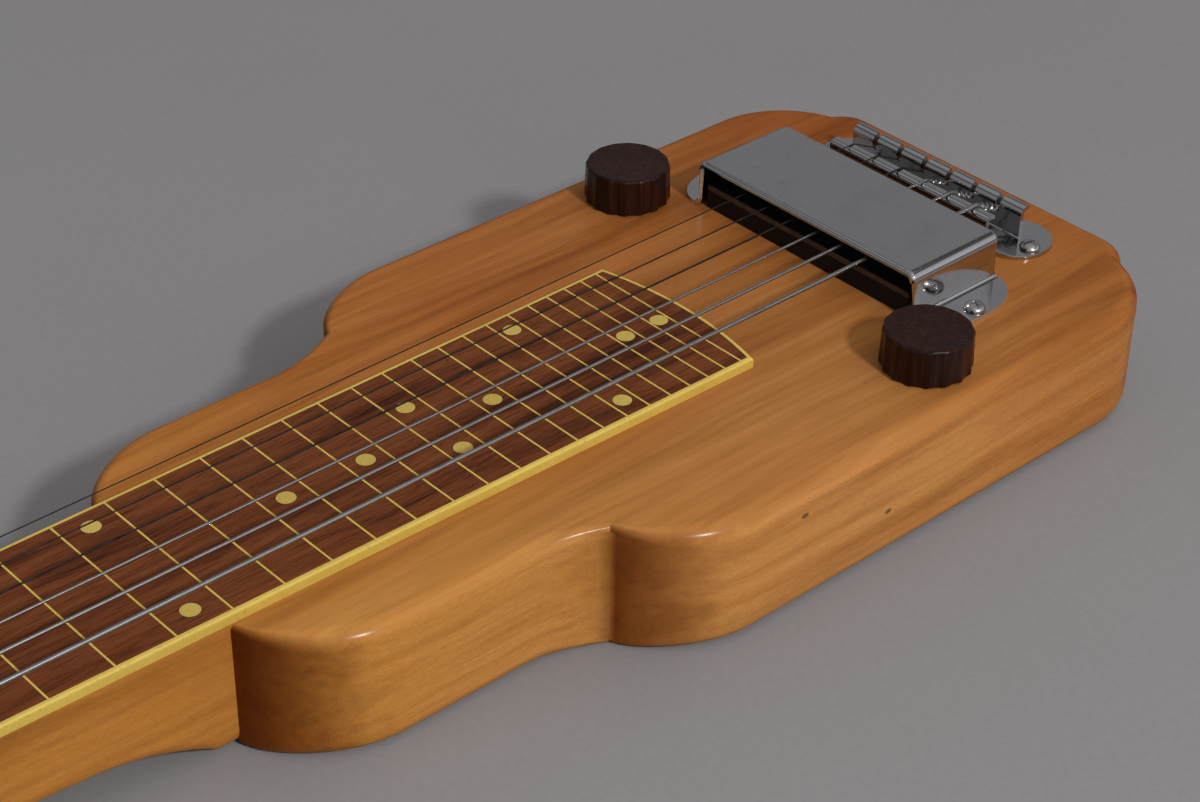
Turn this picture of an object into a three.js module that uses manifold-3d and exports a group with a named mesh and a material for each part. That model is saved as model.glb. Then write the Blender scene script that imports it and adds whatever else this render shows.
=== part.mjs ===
// Lap steel guitar: stepped maple body and neck, fingerboard, pickup under a chromed cover, geared tuners.
// Millimetres. X runs from the headstock to the tail, Y to the treble side, Z up. The body lies on Z = 0.
// Places along X are first taken from the saddle line, and the whole is centred at the end.

import * as THREE from 'three';
import { mergeVertices } from 'three/addons/utils/BufferGeometryUtils.js';
import Module from 'manifold-3d';

// Strings, from string 1 on the treble side to string 6 on the bass side
const scaleLength = 571.5;
const spacingAtSaddle = 10.7;
const spacingAtNut = 9.9;
const stringGauges = [0.36, 0.46, 0.62, 0.86, 1.12, 1.42];
const stringSeat = 0.05;
const stringWraps = 2;
const wrapGap = 0.7;

// Body
const bodyThickness = 41;
const edgeRadius = 5.5;
const lobeRadius = 38;
const shoulderHalf = 58;
const shoulderTurnX = -252;
const flareStartX = -212;
const flareRadius = 58;
const boutHalf = 86.5;
const boutTurnX = -152;
const tailTurnX = -2;
const tailLobeRadius = 34;
const tailX = 37;
const tailBlockHalf = 64.5;
const tailCornerRadius = 12;

// Neck and heel
const boardHalfAtSaddle = 33;
const boardHalfAtNut = 26.8;
const neckReveal = 0.3;
const neckDepthAtNut = 20;
const neckDepthAtHeel = 28.7;
const neckCornerRadius = 6;
const heelStartX = -338;
const heelRadius = 84;
const neckTongue = 14;

// Headstock
const headDrop = 3;
const headThickness = 15;
const headRamp = 14;
const headLength = 130;
const headFlare = 22;
const headHalf = 37;
const headCornerRadius = 12;
const headEdge = 1.5;

// Fingerboard, binding, fret lines and position dots
const boardThickness = 3.2;
const boardEndMargin = 6.8;
const boardEndRadius = 125;
const bindingWidth = 1.5;
const inlaySeam = 0.05;
const fretCount = 29;
const fretLineWidth = 1;
const fretLineDepth = 1;
const dotRadius = 3;
const dotDepth = 0.8;
const dotFrets = [3, 5, 7, 9, 12, 15, 17, 19, 21, 24, 27, 29];
const outerPairFrets = [12, 24];
const innerPairFrets = [7, 19];
const outerPairShare = 0.78;
const innerPairShare = 0.42;

// Nut
const nutThickness = 5;
const nutHeight = 6.5;
const nutNotchDepth = 0.5;
const nutNotchSide = 0.15;

// Tailpiece, a bent plate whose front edge is the saddle and whose rear lip is rolled back
const sheet = 1.4;
const saddleHeight = 12.4;
const saddleLean = 1.2;
const lipHeight = 12;
const lipX = 11.6;
const lipRoll = 3.2;
const tailpieceHalf = 36.5;
const saddleHalf = 34;
const earRadius = 12;
const earX = 11;
const earY = 35.5;
const earScrewX = 9.5;
const earScrewY = 43;
const slotWidth = 1.9;
const slotDepth = 5.2;
const ballRadius = 2;
const ballWidth = 3.4;
const ballWaist = 1.7;

// Pickup cover
const coverFrontX = -50.2;
const coverRearX = -11.2;
const coverHalf = 47;
const coverHeight = 16.6;
const coverSheet = 1.2;
const coverBend = 3.2;
const footReach = 12.6;
const footScrewInset = 4.1;

// Pickup
const housingInset = 1.8;
const housingWall = 1.6;
const housingHeight = 8.3;
const housingFrontX = -48.4;
const housingRearX = -14;
const coilHalfLength = 36;
const coilHalfWidth = 7.5;
const coilWall = 4.5;
const coilX = -31;
const pocketDepth = 12;
const pocketMargin = 1.5;
const poleRadius = 2.4;
const poleTopGap = 0.4;
const magnetHeight = 4;
const magnetHalfWidth = 6;

// Controls
const knobX = -63.6;
const knobInset = 21;
const knobRadius = 14;
const knobHeight = 12.4;
const knobLift = 0.5;
const knobChamfer = 1.1;
const knobFlutes = 16;
const fluteDepth = 0.55;
const knobFlare = 0.35;
const knobRecessRadius = 8.6;
const knobRecessDepth = 4.2;
const shaftRadius = 3;
const shaftGrip = 5.5;
const bushRadius = 4.7;
const bushRise = 3.2;
const potRadius = 11;
const potHeight = 9;
const potNutRadius = 7;
const potNutHeight = 2.2;
const capRadius = 4;
const capLength = 22;

// Control cavity in the back, with a bay for the jack
const cavityFrontX = -79;
const cavityRearX = -48.5;
const sideWall = 8;
const cavityRoof = 7;
const bayRearX = -18;
const bayClearance = 8.5;
const cavityCorner = 5;
const coverPlateThickness = 1.6;
const coverPlateMarginX = 7;
const coverPlateMarginY = 2.2;
const coverPlateGap = 0.3;
const coverScrewSpread = 62;
const wireHoleRadius = 2.5;

// Output jack
const jackX = -33;
const jackZ = 19;
const jackBore = 3.3;
const jackBushRadius = 4.7;
const jackBodyRadius = 8;
const jackBodyLength = 22;
const jackRecessRadius = 11;
const jackRecessDepth = 4.2;
const jackNutRadius = 7;
const jackNutHeight = 2.4;
const jackBushRise = 3.4;

// Tuners: a worm on the button's shaft turns the gear on the string post
const tunerCount = 3;
const firstPost = 34;
const postSpacing = 36;
const postRowY = 24;
const postRadius = 3;
const postWaist = 2.5;
const postRise = 11.5;
const postWaistHeight = 6.4;
const postCap = 1.8;
const runningGap = 0.3;
const gearTeeth = 14;
const wormPitch = 2.5;
const wormPitchRadius = 2.3;
const addendum = 0.65;
const dedendum = 0.85;
const toothShares = { root: 0.6, pitch: 0.42, tip: 0.24 };
const gearThickness = 2.6;
const gearCollar = 4.4;
const wormLength = 7;
const wormShaftRadius = 1.3;
const wormHeadLength = 0.9;
const wormHeadRadius = 1.9;
const plateThickness = 1;
const plateHalfWidth = 8.5;
const plateFront = 17;
const plateRear = 13;
const plateScrewInset = 3.5;
const lugThickness = 1.2;
const lugHalfWidth = 2.4;
const buttonGap = 4;
const buttonLength = 15;
const buttonHalfWidth = 7;
const buttonThickness = 6;
const buttonBevel = 1.6;
const buttonGrip = 8;
const ferruleRadius = 5;
const ferruleHeight = 1.6;

// Screws
const domeRadius = 3.4;
const domeHeight = 2.3;
const shankRadius = 1.5;
const shankLength = 10;
const smallHeadRadius = 2.1;
const smallHeadHeight = 1.1;
const smallShankRadius = 1;
const pilotGap = 0.1;

// Making of the solids
const overrun = 3;
const weld = 0.0005;
const arcSteps = 4;
const edgeSteps = 3;
const cavityCurveSteps = 3;
const stringSides = 5;
const wrapSteps = 8;
const threadSteps = 8;
const hexSides = 6;
const smallSides = 8;
const roundSides = 12;
const wideSides = 18;

// Levels and places worked out from the sizes above
const topZ = bodyThickness;
const boardTopZ = topZ + boardThickness;
const nutX = -scaleLength;
const fretX = (fret) => nutX * 2 ** (-fret / 12);
const boardEndX = fretX(fretCount) + boardEndMargin;
const nutBackX = nutX - nutThickness;
const headTopZ = topZ - headDrop;
const headBottomZ = headTopZ - headThickness;
const headEndX = nutBackX - headLength;
const saddleTopZ = topZ + saddleHeight;
const lipTopZ = topZ + lipHeight;
const nutTopZ = boardTopZ + nutHeight;
const gearPitchRadius = (gearTeeth * wormPitch) / (2 * Math.PI);
const gearTipRadius = gearPitchRadius + addendum;
const gearRootRadius = gearPitchRadius - dedendum;
const wormTipRadius = wormPitchRadius + addendum;
const wormRootRadius = wormPitchRadius - dedendum;
const wormOffset = gearPitchRadius + wormPitchRadius;
const plateBottomZ = headBottomZ - plateThickness;
const wormZ = plateBottomZ - wormTipRadius - runningGap;
const coverPlateTopZ = coverPlateThickness + coverPlateGap;
const cavityRoofZ = topZ - cavityRoof;
const cavityHalf = boutHalf - sideWall;
const bayInnerY = cavityHalf - jackBodyLength - bayClearance;
const knobY = boutHalf - knobInset;

const wasm = await Module();
wasm.setup();

const guitar = new THREE.Group();
guitar.position.x = -(tailX + headEndX) / 2;

const finishes = {
  maple: { color: 0xb87a3c, roughness: 0.28, metalness: 0 },
  rosewood: { color: 0x4f2a1b, roughness: 0.5, metalness: 0 },
  celluloid: { color: 0xd8bf5e, roughness: 0.4, metalness: 0 },
  chrome: { color: 0xc9cbd0, roughness: 0.12, metalness: 1 },
  steel: { color: 0x9c9da1, roughness: 0.35, metalness: 1 },
  bronze: { color: 0x9a8f83, roughness: 0.4, metalness: 1 },
  tortoise: { color: 0x2d1712, roughness: 0.22, metalness: 0 },
  black: { color: 0x111113, roughness: 0.3, metalness: 0 },
  copper: { color: 0x8e4a28, roughness: 0.45, metalness: 1 },
  cream: { color: 0xe4d9b4, roughness: 0.35, metalness: 0 },
  fibre: { color: 0x6f3c22, roughness: 0.7, metalness: 0 },
};

// Joining and cutting closed meshes

function toSolid(geometry) {
  const bare = geometry.clone();
  bare.deleteAttribute('normal');
  bare.deleteAttribute('uv');
  const merged = mergeVertices(bare, weld);
  const vertProperties = new Float32Array(merged.attributes.position.array);
  const triVerts = new Uint32Array(merged.index.array);
  return new wasm.Manifold(new wasm.Mesh({ numProp: 3, vertProperties, triVerts }));
}

function toGeometry(solid) {
  const mesh = solid.getMesh();
  const geometry = new THREE.BufferGeometry();
  geometry.setAttribute('position', new THREE.BufferAttribute(mesh.vertProperties, 3));
  geometry.setIndex(new THREE.BufferAttribute(mesh.triVerts, 1));
  geometry.computeVertexNormals();
  return geometry;
}

const asSolid = (shape) => (shape.isBufferGeometry ? toSolid(shape) : shape);
const fuse = (...shapes) => shapes.map(asSolid).reduce((whole, next) => whole.add(next));
const carve = (base, ...tools) => {
  return tools.map(asSolid).reduce((left, next) => left.subtract(next), asSolid(base));
};

function addPiece(name, shape, finish, parent = guitar) {
  const geometry = shape.isBufferGeometry ? shape : toGeometry(shape);
  const mesh = new THREE.Mesh(geometry, new THREE.MeshStandardMaterial(finishes[finish]));
  mesh.name = name;
  parent.add(mesh);
  return mesh;
}

// Basic forms

function block(x0, x1, y0, y1, z0, z1) {
  const geometry = new THREE.BoxGeometry(x1 - x0, y1 - y0, z1 - z0);
  return geometry.translate((x0 + x1) / 2, (y0 + y1) / 2, (z0 + z1) / 2);
}

function prism(shape, z0, z1, curveSegments = arcSteps) {
  const geometry = new THREE.ExtrudeGeometry(shape, { depth: z1 - z0, bevelEnabled: false, curveSegments });
  return geometry.translate(0, 0, z0);
}

function roundedPrism(shape, z0, z1, radius, bevelSegments = edgeSteps, curveSegments = arcSteps) {
  const depth = z1 - z0 - 2 * radius;
  const bevel = { bevelThickness: radius, bevelSize: radius, bevelOffset: -radius, bevelSegments };
  const geometry = new THREE.ExtrudeGeometry(shape, { depth, curveSegments, ...bevel });
  return geometry.translate(0, 0, z0 + radius);
}

function closedSurface(positions, triangles) {
  const geometry = new THREE.BufferGeometry();
  const values = positions.flatMap((p) => p.toArray());
  geometry.setAttribute('position', new THREE.Float32BufferAttribute(values, 3));
  let volume = 0;
  for (const [a, b, c] of triangles) {
    volume += positions[a].clone().cross(positions[b]).dot(positions[c]);
  }
  const outward = volume > 0 ? triangles : triangles.map(([a, b, c]) => [a, c, b]);
  geometry.setIndex(outward.flat());
  geometry.computeVertexNormals();
  return geometry;
}

// Skin over rings of equal count, with both ends closed
function loft(rings) {
  const count = rings[0].length;
  const positions = rings.flat();
  const triangles = [];
  for (let ring = 0; ring + 1 < rings.length; ring += 1) {
    for (let k = 0; k < count; k += 1) {
      const a = ring * count + k;
      const b = ring * count + ((k + 1) % count);
      triangles.push([a, b, b + count], [a, b + count, a + count]);
    }
  }
  const last = (rings.length - 1) * count;
  for (const [first, order] of [[0, [0, 2, 1]], [last, [0, 1, 2]]]) {
    const flat = rings[first / count];
    const normal = flat[1].clone().sub(flat[0]).cross(flat[2].clone().sub(flat[0])).normalize();
    const across = flat[1].clone().sub(flat[0]).normalize();
    const up = normal.clone().cross(across);
    const outline = flat.map((p) => new THREE.Vector2(p.dot(across), p.dot(up)));
    for (const face of THREE.ShapeUtils.triangulateShape(outline, [])) {
      triangles.push(order.map((k) => first + face[k]));
    }
  }
  return closedSurface(positions, triangles);
}

// Round about Z: each profile point is [radius, z], and the profile starts and ends on the axis or closes
function revolve(profile, sides) {
  const points = profile.map(([radius, z]) => new THREE.Vector2(radius, z));
  const geometry = new THREE.LatheGeometry(points, sides).rotateX(Math.PI / 2);
  const merged = mergeBare(geometry);
  const positions = [];
  for (let k = 0; k < merged.attributes.position.count; k += 1) {
    positions.push(new THREE.Vector3().fromBufferAttribute(merged.attributes.position, k));
  }
  const triangles = [];
  for (let k = 0; k < merged.index.count; k += 3) {
    const face = [merged.index.getX(k), merged.index.getX(k + 1), merged.index.getX(k + 2)];
    if (new Set(face).size === 3) triangles.push(face);
  }
  return closedSurface(positions, triangles);
}

function mergeBare(geometry) {
  geometry.deleteAttribute('normal');
  geometry.deleteAttribute('uv');
  return mergeVertices(geometry, weld);
}

function cylinder(radius, z0, z1, sides) {
  return revolve([[0, z0], [radius, z0], [radius, z1], [0, z1]], sides);
}

function ringOf(outer, inner, z0, z1, sides) {
  return revolve([[inner, z0], [outer, z0], [outer, z1], [inner, z1], [inner, z0]], sides);
}

function hexNut(outer, bore, z0, z1) {
  return carve(cylinder(outer, z0, z1, hexSides), cylinder(bore, z0 - overrun, z1 + overrun, roundSides));
}

// Round tube through points, its rings mitred at each bend
function tube(points, radius, sides) {
  const rings = points.map((point, k) => {
    const before = points[Math.max(k - 1, 0)];
    const after = points[Math.min(k + 1, points.length - 1)];
    const into = point.clone().sub(before).normalize();
    const out = after.clone().sub(point).normalize();
    const along = into.clone().add(out).normalize();
    const side = new THREE.Vector3(0, 0, 1).cross(along).normalize();
    const up = along.clone().cross(side);
    const stretch = 1 / Math.max(along.dot(k ? into : out), Math.SQRT1_2);
    return Array.from({ length: sides }, (_, n) => {
      const angle = (2 * Math.PI * n) / sides;
      const lift = up.clone().multiplyScalar(radius * Math.sin(angle) * stretch);
      return point.clone().addScaledVector(side, radius * Math.cos(angle)).add(lift);
    });
  });
  return loft(rings);
}

// Point where two circles cross, the one farther along the given direction
function crossing(a, b, direction) {
  const span = b.centre.clone().sub(a.centre);
  const distance = span.length();
  const along = (a.radius ** 2 - b.radius ** 2 + distance ** 2) / (2 * distance);
  const off = Math.sqrt(Math.max(a.radius ** 2 - along ** 2, 0));
  const unit = span.normalize();
  const foot = a.centre.clone().addScaledVector(unit, along);
  const side = new THREE.Vector2(-unit.y, unit.x);
  const sign = side.dot(direction) > 0 ? 1 : -1;
  return foot.addScaledVector(side, sign * off);
}

const angleOn = (circle, point) => point.clone().sub(circle.centre).angle();
const circleAt = (x, y, radius) => ({ centre: new THREE.Vector2(x, y), radius });
const flipped = (p) => new THREE.Vector2(p.x, -p.y);
const mirrored = (half) => new THREE.Shape([...half, ...half.map(flipped).reverse()]);

// Widths that follow the fingerboard's taper

const taperAt = (x) => boardHalfAtSaddle + ((boardHalfAtNut - boardHalfAtSaddle) * -x) / scaleLength;
const neckHalfAt = (x) => taperAt(x) + bindingWidth + neckReveal;
const stringYAt = (x, index) => {
  const spacing = spacingAtSaddle + ((spacingAtNut - spacingAtSaddle) * -x) / scaleLength;
  return ((stringGauges.length - 1) / 2 - index) * spacing;
};

// Body outline on the treble side: shoulder lobe, flare, bout lobe, tail lobe and tail block
function halfBodyOutline() {
  const shoulder = circleAt(shoulderTurnX, shoulderHalf - lobeRadius, lobeRadius);
  const flare = circleAt(flareStartX, shoulderHalf + flareRadius, flareRadius);
  const bout = circleAt(boutTurnX, boutHalf - lobeRadius, lobeRadius);
  const tailLobe = circleAt(tailTurnX, boutHalf - tailLobeRadius, tailLobeRadius);
  const corner = circleAt(tailX - tailCornerRadius, tailBlockHalf - tailCornerRadius, tailCornerRadius);
  const rise = neckHalfAt(shoulderTurnX - lobeRadius) - shoulder.centre.y;
  const start = Math.PI - Math.asin(rise / lobeRadius);
  const step = crossing(flare, bout, new THREE.Vector2(0, -1));
  const notch = crossing(tailLobe, corner, new THREE.Vector2(1, 1));
  const path = new THREE.Path();
  path.moveTo(firstStepX(), 0);
  path.lineTo(firstStepX(), shoulder.centre.y + rise);
  path.absarc(shoulder.centre.x, shoulder.centre.y, lobeRadius, start, Math.PI / 2, true);
  path.absarc(flare.centre.x, flare.centre.y, flareRadius, -Math.PI / 2, angleOn(flare, step) - 2 * Math.PI);
  path.absarc(bout.centre.x, bout.centre.y, lobeRadius, angleOn(bout, step), Math.PI / 2, true);
  path.absarc(tailLobe.centre.x, tailLobe.centre.y, tailLobeRadius, Math.PI / 2, angleOn(tailLobe, notch),
    true);
  path.absarc(corner.centre.x, corner.centre.y, tailCornerRadius, angleOn(corner, notch), 0, true);
  path.lineTo(tailX, 0);
  return withoutRepeats(path.getPoints(arcSteps));
}

function withoutRepeats(points) {
  return points.filter((p, k) => k === 0 || p.distanceTo(points[k - 1]) > weld);
}

function firstStepX() {
  const rise = neckHalfAt(shoulderTurnX - lobeRadius) - (shoulderHalf - lobeRadius);
  return shoulderTurnX - Math.sqrt(lobeRadius ** 2 - rise ** 2);
}

// Neck cross-section, flat on top with rounded lower corners
function neckRing(x, topLevel, depth, cornerRadius) {
  const half = neckHalfAt(Math.max(x, nutX));
  const low = topLevel - depth;
  const quarter = [];
  for (let k = 0; k <= edgeSteps; k += 1) {
    const angle = (Math.PI / 2) * (k / edgeSteps);
    const y = half - cornerRadius + cornerRadius * Math.cos(angle);
    quarter.push([y, low + cornerRadius - cornerRadius * Math.sin(angle)]);
  }
  const right = [[half, topLevel], ...quarter];
  const left = right.map(([y, z]) => [-y, z]).reverse();
  return [...right, ...left].map(([y, z]) => new THREE.Vector3(x, y, z));
}

function neckLoft() {
  const rings = [];
  const headDepth = headThickness;
  rings.push(neckRing(nutBackX - headRamp - overrun, headTopZ, headDepth, headEdge));
  rings.push(neckRing(nutBackX - headRamp, headTopZ, headDepth, neckCornerRadius));
  rings.push(neckRing(nutBackX, topZ, neckDepthAtNut, neckCornerRadius));
  rings.push(neckRing(heelStartX, topZ, neckDepthAtHeel, neckCornerRadius));
  const drop = bodyThickness - neckDepthAtHeel;
  const heelRun = Math.sqrt(heelRadius ** 2 - (heelRadius - drop) ** 2);
  const heelSteps = 2 * edgeSteps;
  for (let k = 1; k <= heelSteps; k += 1) {
    const run = (heelRun * k) / heelSteps;
    const depth = neckDepthAtHeel + heelRadius - Math.sqrt(heelRadius ** 2 - run ** 2);
    rings.push(neckRing(heelStartX + run, topZ, depth, edgeRadius));
  }
  rings.push(neckRing(firstStepX() + neckTongue, topZ, bodyThickness, edgeRadius));
  return loft(rings);
}

function headstock() {
  const startX = nutBackX - headRamp + overrun;
  const startHalf = neckHalfAt(nutX);
  const flareEndX = startX - headFlare;
  const path = new THREE.Path();
  path.moveTo(startX, 0);
  path.lineTo(startX, startHalf);
  const bendX = startX - headFlare / 2;
  path.bezierCurveTo(bendX, startHalf, bendX, headHalf, flareEndX, headHalf);
  const cornerX = headEndX + headCornerRadius;
  path.absarc(cornerX, headHalf - headCornerRadius, headCornerRadius, Math.PI / 2, Math.PI);
  path.lineTo(headEndX, 0);
  const outline = mirrored(withoutRepeats(path.getPoints(arcSteps)));
  return roundedPrism(outline, headBottomZ, headTopZ, headEdge, 1);
}

// Outline of the control cavity and its cover, grown by a margin along X and along Y
function cavityShape(marginX, marginY) {
  const front = cavityFrontX - marginX;
  const rear = cavityRearX + marginX;
  const bay = bayRearX + marginX;
  const half = cavityHalf + marginY;
  const inner = bayInnerY - marginX;
  const corners = [[front, -half], [rear, -half], [rear, inner], [bay, inner], [bay, half], [front, half]];
  const shape = new THREE.Shape();
  corners.forEach(([x, y], k) => {
    const here = new THREE.Vector2(x, y);
    const before = new THREE.Vector2(...corners[(k + corners.length - 1) % corners.length]);
    const after = new THREE.Vector2(...corners[(k + 1) % corners.length]);
    const enter = here.clone().add(before.sub(here).setLength(cavityCorner));
    const leave = here.clone().add(after.sub(here).setLength(cavityCorner));
    if (k) shape.lineTo(enter.x, enter.y);
    else shape.moveTo(enter.x, enter.y);
    shape.quadraticCurveTo(here.x, here.y, leave.x, leave.y);
  });
  return shape;
}

const cavityTool = () => prism(cavityShape(0, 0), -overrun, cavityRoofZ, cavityCurveSteps);

function coverPlateTool() {
  const marginX = coverPlateMarginX + coverPlateGap;
  const marginY = coverPlateMarginY + coverPlateGap;
  return prism(cavityShape(marginX, marginY), -overrun, coverPlateTopZ, cavityCurveSteps);
}

// Places of the screws, posts and poles

const sides = { treble: 1, bass: -1 };
const postXs = Array.from({ length: tunerCount }, (_, k) => nutBackX - firstPost - k * postSpacing);
const plateStartX = postXs[0] + plateFront;
const plateEndX = postXs[tunerCount - 1] - plateRear;
const betweenPosts = postXs.slice(1).map((x) => x + postSpacing / 2);
const plateScrewXs = [plateStartX - plateScrewInset, ...betweenPosts, plateEndX + plateScrewInset];
const coverScrewPlaces = [
  [cavityFrontX - coverPlateMarginX / 2, -coverScrewSpread],
  [cavityFrontX - coverPlateMarginX / 2, 0],
  [cavityFrontX - coverPlateMarginX / 2, coverScrewSpread],
  [cavityRearX + coverPlateMarginX / 2, -coverScrewSpread],
  [cavityRearX + coverPlateMarginX / 2, 0],
  [bayRearX + coverPlateMarginX / 2, coverScrewSpread],
];
const footScrewY = coverHalf + footReach - footScrewInset;
const footScrewX = (coverFrontX + coverRearX) / 2;

const pilot = (radius) => radius + pilotGap;

function bodyWithNeck() {
  const outline = mirrored(halfBodyOutline());
  const wood = fuse(roundedPrism(outline, 0, topZ, edgeRadius), neckLoft(), headstock());
  const tools = [cavityTool(), coverPlateTool()];
  const pocketX = coilHalfWidth + pocketMargin;
  const pocketY = coilHalfLength + pocketMargin;
  const pocketFloor = topZ - pocketDepth;
  tools.push(block(coilX - pocketX, coilX + pocketX, -pocketY, pocketY, pocketFloor, topZ + overrun));
  const wireHole = new THREE.Vector3(coilX, 0, pocketFloor + wireHoleRadius);
  tools.push(tube([wireHole, wireHole.clone().setX(cavityRearX - overrun)], wireHoleRadius, hexSides));
  for (const side of Object.values(sides)) {
    const potHole = cylinder(pilot(bushRadius), cavityRoofZ - overrun, topZ + overrun, roundSides);
    tools.push(potHole.translate(knobX, side * knobY, 0));
    for (const [x, y] of [[earScrewX, earScrewY], [footScrewX, footScrewY]]) {
      const hole = cylinder(pilot(shankRadius), topZ - shankLength - pilotGap, topZ + overrun, roundSides);
      tools.push(hole.translate(x, side * y, 0));
    }
    for (const x of postXs) {
      const bore = postRadius + runningGap;
      const hole = cylinder(bore, headBottomZ - overrun, headTopZ + overrun, roundSides);
      tools.push(hole.translate(x, side * postRowY, 0));
    }
  }
  const recess = cylinder(jackRecessRadius, boutHalf - jackRecessDepth, boutHalf + overrun, roundSides);
  const hole = cylinder(pilot(jackBushRadius), cavityHalf - overrun, boutHalf, roundSides);
  for (const tool of [recess, hole]) tools.push(tool.rotateX(-Math.PI / 2).translate(jackX, 0, jackZ));
  return carve(wood, ...tools);
}

// Fingerboard outline: tapered sides from the nut and a convex end, grown outward by a margin
function boardHalfOutline(margin) {
  const radius = boardEndRadius + margin;
  const centreX = boardEndX - boardEndRadius;
  const edgeY = (x) => taperAt(x) + margin;
  let cornerX = boardEndX;
  for (let pass = 0; pass < arcSteps; pass += 1) {
    cornerX = centreX + Math.sqrt(radius ** 2 - edgeY(cornerX) ** 2);
  }
  const reach = Math.asin(edgeY(cornerX) / radius);
  const points = [new THREE.Vector2(nutX, edgeY(nutX))];
  for (let k = 0; k <= arcSteps; k += 1) {
    const angle = reach * (1 - k / arcSteps);
    points.push(new THREE.Vector2(centreX + radius * Math.cos(angle), radius * Math.sin(angle)));
  }
  return points;
}

const frets = Array.from({ length: fretCount }, (_, k) => k + 1);

function dotPlaces() {
  return dotFrets.flatMap((fret) => {
    const x = (fretX(fret) + fretX(fret - 1)) / 2;
    if (outerPairFrets.includes(fret)) return [1, -1].map((side) => [x, side * outerPairShare * taperAt(x)]);
    if (innerPairFrets.includes(fret)) return [1, -1].map((side) => [x, side * innerPairShare * taperAt(x)]);
    return [[x, 0]];
  });
}

function fingerboard() {
  const board = prism(mirrored(boardHalfOutline(0).slice(0, -1)), topZ, boardTopZ);
  const tools = frets.map((fret) => {
    const x = fretX(fret);
    const wide = boardHalfAtSaddle + overrun;
    const half = fretLineWidth / 2;
    return block(x - half, x + half, -wide, wide, boardTopZ - fretLineDepth, boardTopZ + overrun);
  });
  for (const [x, y] of dotPlaces()) {
    tools.push(cylinder(dotRadius, boardTopZ - dotDepth, boardTopZ + overrun, smallSides).translate(x, y, 0));
  }
  return carve(board, ...tools);
}

// Binding round the board, joined at both edges by the inlaid fret lines
function bindingWithFretLines() {
  const outer = boardHalfOutline(bindingWidth).slice(0, -1);
  const inner = boardHalfOutline(inlaySeam).slice(0, -1);
  const around = [...outer, ...outer.map(flipped).reverse(), ...inner.map(flipped), ...[...inner].reverse()];
  const frame = prism(new THREE.Shape(around), topZ, boardTopZ);
  const lines = frets.map((fret) => {
    const x = fretX(fret);
    const wide = taperAt(x) + bindingWidth / 2;
    const half = fretLineWidth / 2 - inlaySeam;
    const [low, high] = [boardTopZ - fretLineDepth + inlaySeam, boardTopZ - inlaySeam];
    return block(x - half, x + half, -wide, wide, low, high);
  });
  return fuse(frame, ...lines);
}

function nut() {
  const half = taperAt(nutX) + bindingWidth;
  const base = block(nutBackX, nutX - inlaySeam, -half, half, topZ, nutTopZ);
  const tools = stringGauges.map((gauge, index) => {
    const y = stringYAt(nutX, index);
    const reach = gauge / 2 + nutNotchSide;
    const floor = nutTopZ - nutNotchDepth;
    return block(nutBackX - overrun, nutX + overrun, y - reach, y + reach, floor, nutTopZ + overrun);
  });
  return carve(base, ...tools);
}

// Strings: ball end, slotted lip, saddle, nut and the wraps round the post

const ballX = lipX + sheet + runningGap + ballRadius;
const slotFloorZ = lipTopZ - slotDepth;
const ballZ = slotFloorZ + runningGap + ballRadius / 2;

function postOf(index) {
  const inner = (stringGauges.length - 1) / 2;
  const side = index < inner ? sides.treble : sides.bass;
  const order = index < inner ? index : stringGauges.length - 1 - index;
  return { side, order, x: postXs[order], y: side * postRowY };
}

function stringPath(index) {
  const gauge = stringGauges[index];
  const post = postOf(index);
  const slotY = stringYAt(0, index);
  const points = [
    new THREE.Vector3(ballX, slotY, ballZ),
    new THREE.Vector3(lipX - sheet, slotY, ballZ),
    new THREE.Vector3(saddleLean, slotY, saddleTopZ + gauge / 2 + stringSeat),
    new THREE.Vector3(-saddleLean, slotY, saddleTopZ + gauge / 2 + stringSeat),
  ];
  const nutY = stringYAt(nutX, index);
  const nutZ = nutTopZ - nutNotchDepth + gauge / 2 + stringSeat;
  points.push(new THREE.Vector3(nutX, nutY, nutZ), new THREE.Vector3(nutBackX, nutY, nutZ));
  const wrapRadius = (postWaist + runningGap + gauge / 2) / Math.cos(Math.PI / wrapSteps);
  const reach = Math.hypot(nutBackX - post.x, nutY - post.y);
  const bearing = Math.atan2(nutY - post.y, nutBackX - post.x);
  const first = bearing - post.side * Math.acos(wrapRadius / reach);
  const pitch = gauge + wrapGap;
  const startZ = headTopZ + postRise - postCap - runningGap - gauge / 2;
  for (let k = 0; k <= stringWraps * wrapSteps; k += 1) {
    const angle = first - post.side * ((2 * Math.PI * k) / wrapSteps);
    const z = startZ - (pitch * k) / wrapSteps;
    const x = post.x + wrapRadius * Math.cos(angle);
    points.push(new THREE.Vector3(x, post.y + wrapRadius * Math.sin(angle), z));
  }
  return points;
}

function leastGap(points, gauge) {
  let least = Infinity;
  const wraps = points.slice(-stringWraps * wrapSteps);
  wraps.forEach((p, i) => wraps.slice(i + wrapSteps / 2).forEach((q) => {
    least = Math.min(least, p.distanceTo(q) - gauge);
  }));
  return least;
}

function stringWithBall(index) {
  const half = ballWidth / 2;
  const profile = [[0, -half], [ballRadius, -half], [ballWaist, 0], [ballRadius, half], [0, half]];
  const ball = revolve(profile, smallSides).rotateX(Math.PI / 2).translate(ballX, stringYAt(0, index), ballZ);
  return fuse(ball, tube(stringPath(index), stringGauges[index] / 2, stringSides));
}

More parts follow.
